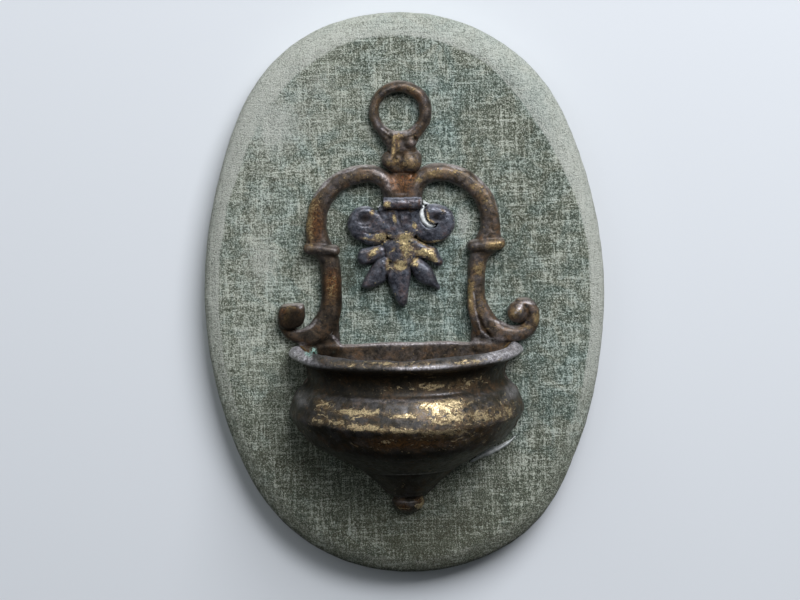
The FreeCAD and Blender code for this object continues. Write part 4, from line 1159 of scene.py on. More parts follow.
        clay.groove(0.5, [(22.7, 4.6, 0.2, 4.9), (23.1, 2.0, 0.55, 4.8), (23.8, -1.0, 0.65, 4.8),
                          (24.5, -4.5, 0.7, 4.8), (25.5, -8.0, 0.8, 4.7), (27.1, -11.2, 0.8, 4.5),
                          (29.2, -13.8, 0.6, 4.2)])
        clay.add(clay.bar([(22.3, -1.0, 0.9, 4.6), (22.5, -4.0, 1.0, 4.6), (23.7, -8.2, 1.2, 4.3),
                           (25.2, -12.0, 1.3, 3.6)], 0.9, 0.2), 0.5)
        for rows in ([(-4.6, 43.4, 0.25, 5.1), (-3.7, 40.8, 0.55, 4.9), (-2.6, 38.2, 0.35, 5.0)],
                     [(4.6, 43.6, 0.25, 5.1), (3.4, 41.0, 0.55, 4.9), (2.3, 38.4, 0.35, 5.0)]):
            clay.groove(0.5, rows)
        clay.add(clay.bar([(23.5, 17.9, 2.0, 5.7), (27.8, 18.3, 2.15, 6.1), (32.4, 18.6, 2.0, 5.8)], 1.9,
                          0.3), 0.35)
        clay.add(clay.bar([(-23.4, 17.2, 1.95, 5.6), (-27.8, 17.9, 2.1, 6.0), (-31.8, 18.2, 2.1, 5.7)], 1.9,
                          0.3), 0.35)
        return clay.cast("scroll_frame_casting", 2, ((0.16, 5.0, 11), (0.08, 1.4, 12)))


# ---- Hanging ring ------------------------------------------------------------------------------
@dataclass
class HangingRing(OldCasting):
    """Ring, neck and knop."""
    rise: float = 4.2
    gilt: Rows = (
        (-2.6, 52.4, 0.7, 4.2, 1.1, -4), (-1.0, 53.4, 0.5, 3.0, 0.8), (-1.2, 55.6, 2.2, 1.2, 0.7),
        (3.0, 46.8, 3.2, 3.2, 0.62), (-4.2, 47.0, 0.9, 1.2, 0.9), (-3.0, 47, 3, 3, 0.3),
        (-8.4, 66, 1.6, 5, 0.35, -20), (3.6, 71.6, 3.0, 1.2, 0.45, -20))
    gilt_elsewhere: float = 0.12
    rust: Rows = (
        (0, 43.2, 4.4, 1.2, 0.7), (6.4, 69, 2.6, 3.2, 0.4, -45), (-1.4, 54.0, 2.4, 2.4, 0.4),
        (-7.6, 68, 2, 2, 0.35))
    # painted highlights on the ring, its neck and its knop
    highlight_and_rub: Rows = (
        (-0.4, 57.0, 3.4, 0.5, 1.1), (-4.8, 58.7, 2.0, 0.45, 0.9, -38), (4.2, 58.6, 1.8, 0.45, 0.9, 42),
        (3.0, 53.6, 1.6, 1.5, 0.3), (5.8, 50.2, 1.2, 0.4, 0.6, -45))
    node: str = "hanging_ring"
    slot: str = "frame_bronze"

    def model(self) -> Casting:
        """Model the casting.

        Returns:
            The casting, without its wear.
        """
        rise = self.rise
        clay = Clay((-12.4, 13.2, 41.0), (12.4, 21.6, 75.6), 0.26)
        loop = []
        for turn in np.linspace(-0.5, 1.5, 17) * math.pi:
            wide = 1.9 + 0.2 * math.cos(turn)
            loop.append((-0.4 + 8.75 * math.cos(turn), 63.8 + 8.5 * math.sin(turn), wide, rise))
        clay.add(clay.bar(loop, 1.75, 0.7))
        clay.add(clay.leaf([(-7.6, 58.4), (-7.0, 55.2), (-5.5, 52.4), (-4.7, 50.4), (-2.0, 48.4),
                            (2.0, 48.4), (4.7, 50.4), (4.9, 52.6), (5.6, 54.4), (6.9, 56.4), (4.4, 56.4),
                            (1.6, 55.4), (-1.8, 55.4), (-4.8, 56.6)],
                           rise + 0.2, 1.6, 0.8), 0.7)
        clay.add(clay.knob(3.0, 53.3, 2.1, 5.4, 1.9), 0.5)
        clay.add(clay.tube([(-2.7, 56.4, 0.7, 3.9), (-2.5, 53.0, 0.9, 4.1), (-3.0, 49.4, 0.9, 4.4),
                            (-3.6, 47.2, 0.7, 4.6)]), 1.0)
        clay.groove(0.3, [(4.9, 57.0, 0.15, 4.6), (4.5, 55.9, 0.45, 4.3), (4.7, 55.0, 0.55, 3.8),
                          (5.4, 54.2, 0.5, 3.0)])
        clay.groove(0.4, [(0.8, 51.6, 0.2, 5.1), (2.4, 50.9, 0.4, 5.2), (4.4, 51.0, 0.35, 5.0)])
        clay.add(clay.leaf([(-4.6, 50.6), (-6.1, 49.6), (-6.9, 48.2), (-6.8, 46.6), (-5.4, 44.9),
                            (-2.6, 43.2), (1.4, 42.8), (4.6, 43.9), (6.3, 45.6), (6.9, 47.6), (6.4, 49.4),
                            (4.8, 50.8), (0.0, 50.2)], 4.9, 1.9, 0.9), 0.6)
        clay.add(clay.knob(-4.3, 47.5, 2.4, 5.7, 2.5), 0.5)
        clay.add(clay.knob(2.6, 46.8, 3.9, 6.3, 3.7), 0.4)
        clay.groove(0.5, [(-1.8, 49.6, 0.3, 5.4), (-1.5, 47.0, 0.6, 5.4), (-1.9, 44.2, 0.5, 5.0)])
        return clay.cast("ring_casting", 2, ((0.16, 2.6, 21), (0.06, 0.9, 22)))


# ---- Palmette ----------------------------------------------------------------------------------
@dataclass
class Palmette(OldCasting):
    """Binding roll, fluted neck, two volutes and five leaves, in low relief."""
    rise: float = 4.0
    roll_z: float = 33.1
    roll_radius: float = 2.05
    roll_rise: float = 4.4
    left_volute: Rows = (
        (-7.5, 30.0), (-9.3, 30.6), (-10.7, 31.6), (-12.8, 32.1), (-15.4, 31.6), (-17.4, 29.9),
        (-18.6, 27.4), (-18.8, 25.0), (-17.9, 22.8), (-15.9, 20.7), (-13.4, 19.4), (-10.8, 18.8),
        (-8.0, 19.2), (-5.6, 21.0), (-4.6, 24.5), (-5.6, 28.0))
    right_volute: Rows = (
        (7.4, 31.0), (9.0, 32.2), (11.6, 32.2), (14.5, 31.2), (16.6, 29.6), (17.5, 27.0), (17.4, 24.8),
        (16.2, 22.2), (14.2, 20.4), (11.6, 19.2), (8.6, 19.0), (6.2, 20.0), (4.2, 21.6), (3.2, 24.0),
        (5.0, 27.0))
    neck: Rows = (
        (-7.3, 32.0), (-7.4, 28.0), (-6.6, 24.0), (-4.5, 21.0), (0.0, 20.0), (3.6, 21.4), (5.6, 24.5),
        (6.1, 27.5), (6.0, 32.0))
    heart: Rows = (
        (-7.0, 20.5), (-6.8, 16.5), (-5.0, 12.5), (-1.5, 10.5), (2.6, 11.5), (4.6, 14.5), (4.8, 18.5),
        (3.8, 21.5), (-1.0, 23.0))
    leaves: Sequence[Rows] = (
        ((-6.0, 18.4), (-9.4, 18.3), (-12.0, 17.6), (-14.3, 16.8), (-15.3, 15.2), (-15.2, 13.4),
         (-14.0, 12.4), (-11.4, 12.8), (-8.8, 14.1), (-6.0, 15.6)),
        ((-5.0, 14.5), (-8.6, 13.6), (-10.6, 11.2), (-12.4, 8.4), (-13.6, 6.2), (-13.8, 4.8), (-12.2, 4.3),
         (-9.6, 4.9), (-7.2, 6.3), (-5.8, 8.4), (-4.0, 10.8)),
        ((2.0, 12.6), (3.2, 9.4), (4.5, 7.0), (6.3, 5.6), (8.5, 4.8), (10.2, 3.9), (11.4, 3.5), (11.7, 4.4),
         (11.1, 5.4), (10.2, 7.8), (8.9, 10.3), (6.9, 12.3), (4.4, 13.8)),
        ((3.2, 20.8), (6.0, 19.3), (8.4, 18.1), (10.3, 17.3), (11.5, 15.8), (12.2, 14.1), (13.0, 12.6),
         (12.1, 11.6), (10.7, 11.9), (9.6, 13.0), (7.4, 13.9), (5.0, 14.6), (2.8, 15.2)),
        ((-4.8, 13.0), (-5.9, 10.2), (-5.4, 7.2), (-4.3, 4.2), (-3.0, 1.4), (-2.1, -0.9), (-0.8, -2.2),
         (0.3, -1.2), (0.8, 1.2), (1.1, 3.6), (1.6, 6.4), (2.0, 9.4), (1.8, 12.8), (-1.0, 14.0)))
    gilt: Rows = (
        (-7.2, 21.6, 2.6, 1.6, 1.7), (0.8, 21.0, 3.1, 2.2, 1.5), (0.8, 17.4, 1.9, 2.8, 1.3),
        (-1.4, 12.0, 2.7, 1.9, 1.6, 15), (4.0, 12.9, 1.1, 1.7, 1.4), (6.6, 16.2, 2.9, 1.3, 1.6, -8),
        (9.8, 15.2, 1.0, 2.4, 1.2, 25), (9.4, 13.6, 2.2, 0.6, 0.8), (-10.2, 16.6, 2.4, 1.2, 1.5, 35),
        (-5.4, 13.0, 0.9, 3.0, 0.9, -10), (-2.8, 28.0, 0.6, 1.8, 1.9, 4), (3.9, 25.4, 0.7, 1.3, 1.7, 15),
        (-5.2, 32.9, 1.1, 1.1, 1.8), (-12.6, 21.2, 2.6, 0.5, 0.8, -12), (10.0, 19.8, 4.6, 0.5, 1.0, 6),
        (-10.4, 30.2, 0.8, 1.0, 1.2), (7.0, 19.0, 4.0, 0.4, 1.1, -28), (-3.2, 17.4, 0.8, 0.8, 0.9),
        (8.5, 28.6, 0.5, 2.0, 1.2, 8), (9.8, 26.8, 1.2, 0.4, 1.2, -30), (13.6, 30.2, 1.6, 0.6, 0.6, -40))
    rust: Rows = (
        (-12.6, 28.2, 2.0, 2.2, 0.3), (-1.4, 3.4, 1.1, 1.8, 0.4), (-4.6, 9.4, 0.8, 2.4, 0.35),
        (0.9, 27.6, 2.8, 2.6, 0.3), (0, 33.2, 6.5, 2.0, 0.3), (0.6, 1.0, 0.6, 3.0, 0.25),
        (12.4, 12.6, 0.9, 0.9, 0.6), (0, 31.3, 6.5, 0.6, 0.5), (5.6, 33.5, 0.6, 1.6, 0.45),
        (-3.0, 24.5, 3, 2, 0.25))
    # painted highlights and glints on the roll, the volutes' rims and the leaves
    highlight_and_rub: Rows = (
        (0, 34.9, 6.6, 0.5, 0.35), (6.2, 34.0, 0.5, 1.2, 0.8), (-13.6, 32.1, 3.8, 0.5, 1.0),
        (-17.4, 29.4, 0.5, 1.6, 0.5, -35), (-13.2, 16.9, 2.0, 0.45, 0.9, 14),
        (11.8, 32.2, 3.8, 0.5, 0.9, -10), (-12.6, 24.4, 0.5, 2.0, 0.5, 30), (4.6, 16.2, 1.4, 0.4, 0.6, -30),
        (1.4, 6.8, 0.5, 2.6, 0.35))
    green: Rows = ((0.9, 16.5, 1.2, 2.4, 0.22),)
    # darker spots in the volutes' pits and round the lower leaves
    grime_and_shade: Rows = (
        (-12.5, 28.2, 2.6, 2.4, 0.62), (11.2, 28.0, 1.7, 1.7, 0.7), (0.0, -1, 2.0, 3.0, 0.45),
        (-9.0, 24.5, 2.2, 3.0, 0.25), (12.4, 12.4, 1.0, 1.0, 0.4), (-10, 7, 5, 5, 0.33), (9, 7, 5, 5, 0.33),
        (-13, 15, 4, 3, 0.2))
    finish: OldBronze = PALMETTE_FINISH
    node: str = "palmette"
    slot: str = "palmette_bronze"

    def model(self) -> Casting:
        """Model the casting.

        Returns:
            The casting, without its wear.
        """
        rise = self.rise
        clay = Clay((-21.0, 13.2, -4.4), (19.4, 21.6, 36.4), 0.25)
        for number, outline in enumerate(self.leaves):
            clay.add(clay.leaf(outline, rise - 0.25 + 0.12 * (number % 3), 1.3, 1.0, 0.4), 0.15)
        clay.add(clay.leaf(self.left_volute, rise + 0.3, 1.5, 0.9), 0.3)
        clay.add(clay.leaf(self.right_volute, rise + 0.3, 1.5, 0.9), 0.3)
        clay.add(clay.leaf(self.heart, rise + 0.2, 2.0, 0.9), 0.4)
        clay.add(clay.leaf(self.neck, rise + 0.15, 0.9, 0.2), 0.3)
        clay.cut(clay.knob(-12.7, 28.3, 3.6, 10.4, 3.5), 0.8)
        clay.cut(clay.knob(11.4, 28.0, 2.4, 8.4, 2.3), 0.6)
        clay.cut(clay.trench([(6.9, 31.4, 0.6, 1.8), (6.5, 29.0, 1.0, 1.6), (7.3, 26.8, 1.15, 1.6),
                              (8.9, 25.3, 1.1, 1.7), (10.5, 25.2, 0.7, 2.2), (11.9, 26.0, 0.15, 3.2)]), 0.3)
        for rows in ([(-9.4, 30.2, 0.3, 4.4), (-10.2, 27.6, 0.5, 4.4), (-12.0, 25.6, 0.5, 4.4),
                      (-14.6, 25.8, 0.3, 4.5)],
                     [(-13.6, 23.6, 0.2, 4.4), (-11.2, 22.9, 0.35, 4.4), (-8.2, 23.4, 0.3, 4.4)],
                     [(-3.2, 31, 0.3, 4.6), (-3.0, 28.4, 0.35, 4.6), (-2.6, 26.2, 0.2, 4.6)],
                     [(-5.0, 30.6, 0.5, 4.6), (-4.9, 27.4, 0.6, 4.5), (-4.2, 24.6, 0.3, 4.5)],
                     [(-1.5, 30.6, 0.6, 4.5), (-1.2, 27.4, 0.7, 4.4), (-0.6, 24.6, 0.35, 4.5)],
                     [(2.6, 30.6, 0.5, 4.6), (2.5, 27.4, 0.6, 4.5), (2.2, 24.6, 0.3, 4.5)],
                     [(-6.6, 18.9, 0.5, 4.2), (-9.0, 18.9, 0.5, 4.1), (-12.0, 18.6, 0.6, 3.8)],
                     [(-4.2, 16.8, 0.3, 4.6), (-6.6, 14.8, 0.55, 4.2), (-10.4, 12.4, 0.6, 3.6)],
                     [(-2.6, 14.8, 0.3, 4.6), (-4.3, 11.2, 0.55, 4.2), (-6.0, 8.0, 0.6, 3.4)],
                     [(0.8, 15.2, 0.3, 4.6), (2.2, 11.4, 0.55, 4.2), (3.2, 7.2, 0.6, 3.4)],
                     [(2.6, 16.2, 0.3, 4.6), (5.4, 14.2, 0.5, 4.2), (9.0, 12.4, 0.6, 3.6)],
                     [(3.2, 22.4, 0.3, 4.4), (5.0, 20.4, 0.45, 4.2), (8.4, 18.7, 0.5, 3.8),
                      (11.4, 18.4, 0.5, 3.4)]):
            clay.groove(0.35, rows)
        wide, high = self.roll_radius, self.roll_rise
        roll = clay.tube([(-5.0, self.roll_z, wide, high), (4.8, self.roll_z - 0.1, wide, high)])
        ends = np.abs(clay.x + 0.1) - 6.5
        core = np.hypot(clay.z - self.roll_z, clay.depth - VELVET_FACE - high) - wide
        clay.add(np.maximum(np.minimum(roll, core), ends), 0.3)
        foot = np.maximum(np.abs(clay.plan_x + 0.1) - 6.0, np.abs(clay.plan_z - self.roll_z) - 1.6)
        clay.add(clay.slab(foot, high, 0.5, 0.0), 0.2)
        return clay.cast("palmette_casting", 1, ((0.13, 2.4, 31), (0.10, 0.9, 32)))


# ---- Bowl --------------------------------------------------------------------------------------
class TurnedForm(ShapeTree):
    """Geometry Nodes tree that turns a closed outline half round an upright axis."""
    MERGE = 2e-6                # points closer than this, in metres, become one

    def __init__(self) -> None:
        """Wire the tree: a grid is laid on the outline and swung round the axis."""
        super().__init__("Half-turned form", {"Steps round": "Int", "Steps along": "Int",
                                              "Axis depth": "Float", "Plate depth": "Float"})
        axis, plate = self.given["Axis depth"], self.given["Plate depth"]
        line = self.node("GeometryNodeMeshToCurve", {"Mesh": self.given["Geometry"]}).outputs[0]
        grid = self.node("GeometryNodeMeshGrid", {"Vertices X": self.given["Steps round"], "Size X": 1.0,
                                                  "Vertices Y": self.given["Steps along"], "Size Y": 1.0})
        place = self.node("GeometryNodeInputPosition").outputs[0]
        where = self.node("ShaderNodeSeparateXYZ", {0: place}).outputs
        sample = self.node("GeometryNodeSampleCurve", {"Curves": line, "Factor": self.plus(where[1], 0.5)},
                           mode="FACTOR")
        spot = self.node("ShaderNodeSeparateXYZ", {0: sample.outputs["Position"]}).outputs
        radius = self.math("MAXIMUM", spot[0], 1e-5)
        step = self.math("DIVIDE", self.minus(plate, axis), radius)
        start = self.math("ARCSINE", self.math("MINIMUM", step, 1.0))
        sweep = self.minus(math.pi, self.times(start, 2.0))
        angle = self.plus(start, self.times(sweep, self.plus(where[0], 0.5)))
        out_x = self.times(self.times(radius, self.math("COSINE", angle)), -1.0)
        reach = self.plus(axis, self.times(radius, self.math("SINE", angle)))
        depth = self.times(self.math("MAXIMUM", reach, plate), -1.0)
        join = self.node("ShaderNodeCombineXYZ", {0: out_x, 1: depth, 2: spot[2]}).outputs[0]
        move = self.node("GeometryNodeSetPosition", {"Geometry": grid.outputs["Mesh"], "Position": join})
        self.end(self.node("GeometryNodeMergeByDistance", {0: move.outputs[0],
                                                           "Distance": self.MERGE}).outputs[0])


@dataclass
class Bowl(OldCasting):
    """Half-round bowl with its rolled lip, neck, belly and turned underside."""
    rim_z: float = -15.1
    plate_depth: float = 16.3
    steps: tuple[int, int] = (331, 241)   # points round and along the outline
    dents: float = 0.34
    skin: float = 0.07          # depth of its fine roughness
    lip_wear: float = 0.24
    turning: tuple[float, float] = (0.9, 0.03)      # gap and depth of the turned lines underneath
    tear: float = 0.9           # how far the left end of the rim is broken back
    outer: Rows = (
        (36.3, 0.15), (37.3, 0.0), (38.5, 0.6), (39.5, 1.5), (39.9, 2.5), (39.5, 3.4), (38.2, 4.1),
        (36.4, 4.9), (34.8, 6.1), (34.0, 7.6), (33.6, 9.6), (33.7, 11.6), (34.4, 12.8), (35.6, 13.7),
        (36.6, 14.5), (37.0, 15.1), (37.4, 15.7), (38.6, 17.4), (39.5, 19.8), (40.1, 22.2), (40.15, 23.3),
        (39.6, 24.3), (38.3, 26.2), (36.5, 29.2), (34.7, 31.8), (31.7, 34.1), (27.6, 36.6), (23.7, 38.9),
        (20.1, 41.0), (18.1, 42.1), (17.6, 42.5), (17.2, 42.6), (14.6, 44.9), (11.6, 47.4), (9.0, 49.8),
        (7.5, 51.3), (6.9, 52.3))
    inner: Rows = (
        (0.05, 49.7), (6.0, 48.2), (15.0, 39.6), (24.0, 35.4), (30.5, 31.5), (35.2, 26.8), (37.5, 22.6),
        (36.0, 18.6), (33.6, 15.0), (31.2, 12.0), (31.0, 7.6), (32.6, 4.6), (34.8, 2.2), (35.7, 0.8))
    gilt: Rows = (
        (12, -31.2, 7.0, 1.6, 1.5), (13, -34.8, 7.0, 1.8, 1.3), (26, -35.4, 7.0, 3.4, 0.7),
        (10, -29.8, 8.0, 0.8, 1.1), (0, -33.4, 5.0, 0.9, 1.2), (-12, -32.3, 5.0, 0.9, 1.3),
        (-19, -32.9, 5.0, 0.9, 1.3), (-28, -31.6, 3.2, 1.5, 0.9), (-24, -35.8, 4.4, 1.0, 0.95),
        (-13, -37.2, 9.0, 1.1, 1.5), (0, -38.2, 6.5, 0.8, 1.4), (12, -39.6, 8.0, 1.5, 0.95),
        (-30, -37.0, 3.0, 2.0, 0.5), (34, -36.5, 3.0, 4.0, 0.5), (-4, -42.5, 11, 2.6, 0.3),
        (22, -42.5, 8.0, 3.0, 0.4), (8, -24.6, 5.0, 1.2, 0.95, -3), (20, -24.8, 7.0, 1.6, 0.75),
        (-6, -25.6, 3.0, 0.7, 0.5), (-4, -21.0, 16, 1.6, 0.3), (-7, -16.1, 7.0, 0.9, 0.75),
        (21, -16.8, 5.0, 0.9, 1.1), (-20, -16.6, 7.0, 0.9, 0.55), (8, -16.2, 8.0, 0.7, 0.45))
    gilt_elsewhere: float = 0.1
    rust: Rows = (
        (-5, -42.5, 11, 2.8, 0.9), (10, -43.5, 10, 2.2, 0.5), (14, -26, 14, 2, 0.3), (-2, -63, 8, 4, 0.35))
    rust_elsewhere: float = 0.03
    # painted highlights on the lip's ends and lower edge, a band on the shoulder and fine lines below
    highlight_and_rub: Rows = (
        (-38, -16.2, 3.0, 1.4, 1.4), (37, -17.0, 6.0, 2.4, 1.4), (6, -17.6, 11, 0.5, 1.1),
        (0, -16.6, 36, 1.3, 0.26), (30, -16.4, 7, 1.6, 0.95), (-36, -16.4, 5, 1.5, 1.1),
        (-30, -18.2, 5, 0.7, 1.1), (0, -28.9, 30, 0.9, 0.42), (-36, -31.5, 4, 3, 0.5),
        (36, -31.0, 4, 2.4, 0.5), (2, -57.4, 15, 0.3, 1.0), (11, -27.6, 7, 0.25, 0.8))
    green: Rows = ((-32.6, -15.2, 1.5, 0.9, 0.9),)
    # painted shade under the lip, along the shoulder, on the belly's left and under the belly
    grime_and_shade: Rows = (
        (-6, -22, 32, 2.6, 0.4), (-30, -34, 9, 6, 0.12), (0, -47, 34, 2.6, 0.3), (8, -28.4, 12, 0.5, 0.6))
    reach: int = 2
    finish: OldBronze = BOWL_FINISH
    node: str = "bowl_shell"
    slot: str = "bowl_bronze"

    def outline(self) -> np.ndarray:
        """Closed outline, from the lip down the outside and up the inside.

        Returns:
            Rows of radius and height.
        """
        outside = curved(self.outer, 7)
        inside = curved(self.inner, 4)
        rows = np.vstack([outside, [[0.05, self.outer[-1][1]]], inside, outside[:1]])
        return np.stack([rows[:, 0], self.rim_z - rows[:, 1]], axis=1)

    def shape(self) -> Casting:
        """Turn the bowl and close its flat back.

        Returns:
            The casting, still without dents.
        """
        points = [(radius * MM, 0.0, height * MM) for radius, height in self.outline()]
        edges = [(n, n + 1) for n in range(len(points) - 1)]
        mesh = TurnedForm().run("bowl_outline", points, edges, {
            "Steps round": self.steps[0], "Steps along": self.steps[1], "Axis depth": VELVET_FACE * MM,
            "Plate depth": self.plate_depth * MM, "Finish": None})
        bm = bmesh.new()
        bm.from_mesh(mesh)
        bmesh.ops.remove_doubles(bm, verts=bm.verts, dist=TurnedForm.MERGE)
        bmesh.ops.holes_fill(bm, edges=[edge for edge in bm.edges if edge.is_boundary], sides=0)
        bmesh.ops.triangulate(bm, faces=[f for f in bm.faces if len(f.verts) > 4])
        bmesh.ops.recalc_face_normals(bm, faces=bm.faces)
        bm.verts.index_update()
        corners = [[vert.index for vert in face.verts] for face in bm.faces]
        quads = np.array([row if len(row) == 4 else [*row, row[0]] for row in corners])
        casting = Casting("bowl_casting", np.array([vert.co[:] for vert in bm.verts]) / MM, quads)
        bm.free()
        return casting

    def age(self, bowl: Casting) -> None:
        """Dent the bowl a little and tear its left rim end; its flat back stays flat.

        Args:
            bowl: The bowl's casting.
        """
        free = np.clip((-bowl.points[:, 1] - self.plate_depth) / 2.0, 0, 1)
        normal = bowl.normals()
        fall = self.rim_z - bowl.points[:, 2]
        push = rough_noise(bowl.points, 14.0, 3, 41) * self.dents
        push = push + rough_noise(bowl.points, 2.6, 3, 42) * self.skin
        lip = np.exp(-((fall - 1.5) / 2.6) ** 2)
        push += lip * rough_noise(bowl.points, 4.5, 2, 43) * self.lip_wear
        gap, depth = self.turning
        turned = np.sin(fall * 2 * math.pi / gap) * depth * np.clip((fall - 34.0) / 3.0, 0, 1)
        left = np.exp(-((bowl.points[:, 0] + 35.0) / 5.0) ** 2) * np.clip(1 - fall / 3.5, 0, 1)
        push += turned - left * np.abs(smooth_noise(bowl.points * (1, 1, 2.2), 2.2, 44)) * self.tear
        bowl.points = bowl.points + normal * (push * free)[:, None]

    def model(self) -> Casting:
        """Turn the bowl and dent it.

        Returns:
            The casting, without its wear.
        """
        bowl = self.shape()
        self.age(bowl)
        return bowl


@dataclass
class DropFinial(OldCasting):
    """Half-round drop under the bowl."""
    seat_z: float = -67.4
    profile: Rows = (           # fall below the seat, and radius
        (0.0, 5.0), (0.6, 5.15), (1.2, 4.75), (2.2, 5.6), (3.6, 5.45), (5.2, 4.6), (6.4, 2.9), (6.9, 1.3),
        (7.1, 0.4))
    gilt: Rows = (
        (4.0, -72.0, 1.5, 1.4, 1.5), (4.6, -69.6, 1.0, 1.4, 0.7), (-1.5, -72.0, 2, 1, 0.4))
    gilt_elsewhere: float = 0.1
    rust: Rows = (
        (-2.0, -71.6, 2.2, 1.2, 0.9), (3.6, -69.4, 1.6, 1.4, 0.7))
    rust_elsewhere: float = 0.2
    finish: OldBronze = BOWL_FINISH
    node: str = "drop_finial"
    slot: str = "bowl_bronze"

    def model(self) -> Casting:
        """Model the casting.

        Returns:
            The casting, without its wear.
        """
        clay = Clay((-7.4, 13.2, -75.6), (7.4, 20.6, -66.6), 0.22)
        falls, radii = np.array(self.profile).T
        fall = self.seat_z - clay.z
        body = (np.hypot(clay.x, clay.depth - VELVET_FACE) - np.interp(fall, falls, radii)) * 0.8
        clay.add(np.maximum(np.maximum(body, -fall), fall - falls[-1]), 0.3)
        return clay.cast("finial_casting", 2, ((0.28, 3.2, 51), (0.06, 0.9, 52)))


@dataclass
class GlueSqueeze:
    """Pale glue that was squeezed out on to the velvet."""
    beads: Sequence[Rows] = (
        ((37.2, -48.2, 0.4, 1.8), (34.9, -50.2, 0.7, 2.2), (31.7, -52.1, 0.95, 2.4),
         (28.3, -53.5, 1.25, 2.5), (25.4, -54.8, 0.95, 2.3), (22.6, -56.4, 0.7, 1.9),
         (20.4, -57.6, 0.35, 1.5)),
        ((-9.2, 31.9, 0.6, 1.1), (-8.0, 31.6, 0.8, 1.6), (-7.3, 33.4, 0.5, 1.2)),
        ((-15.4, 33.0, 0.4, 0.6), (-12.8, 33.6, 0.5, 0.8), (-10.4, 32.6, 0.55, 0.9)),
        ((6.9, 33.8, 0.4, 1.7), (7.3, 32.7, 0.8, 2.3), (8.8, 32.3, 0.5, 2.0)),
        ((6.9, 31.4, 0.7, 2.4), (6.3, 29.0, 1.25, 3.7), (7.2, 26.7, 1.3, 4.0), (8.9, 25.3, 1.25, 4.0),
         (10.7, 25.3, 0.9, 3.6)))

    def build(self) -> bpy.types.Object:
        """Make the finished piece.

        Returns:
            The piece.
        """
        clay = Clay((-17.0, 13.2, -60.0), (41.0, 18.0, 36.4), 0.3)
        clay.add_bars(self.beads, 2.0, 0.6, 0.3)
        glue = clay.cast("glue_squeeze", 0, ((0.14, 1.2, 61),))
        return glue.to_object(GLUE_FINISH.make(), "glue_beads", "glue")


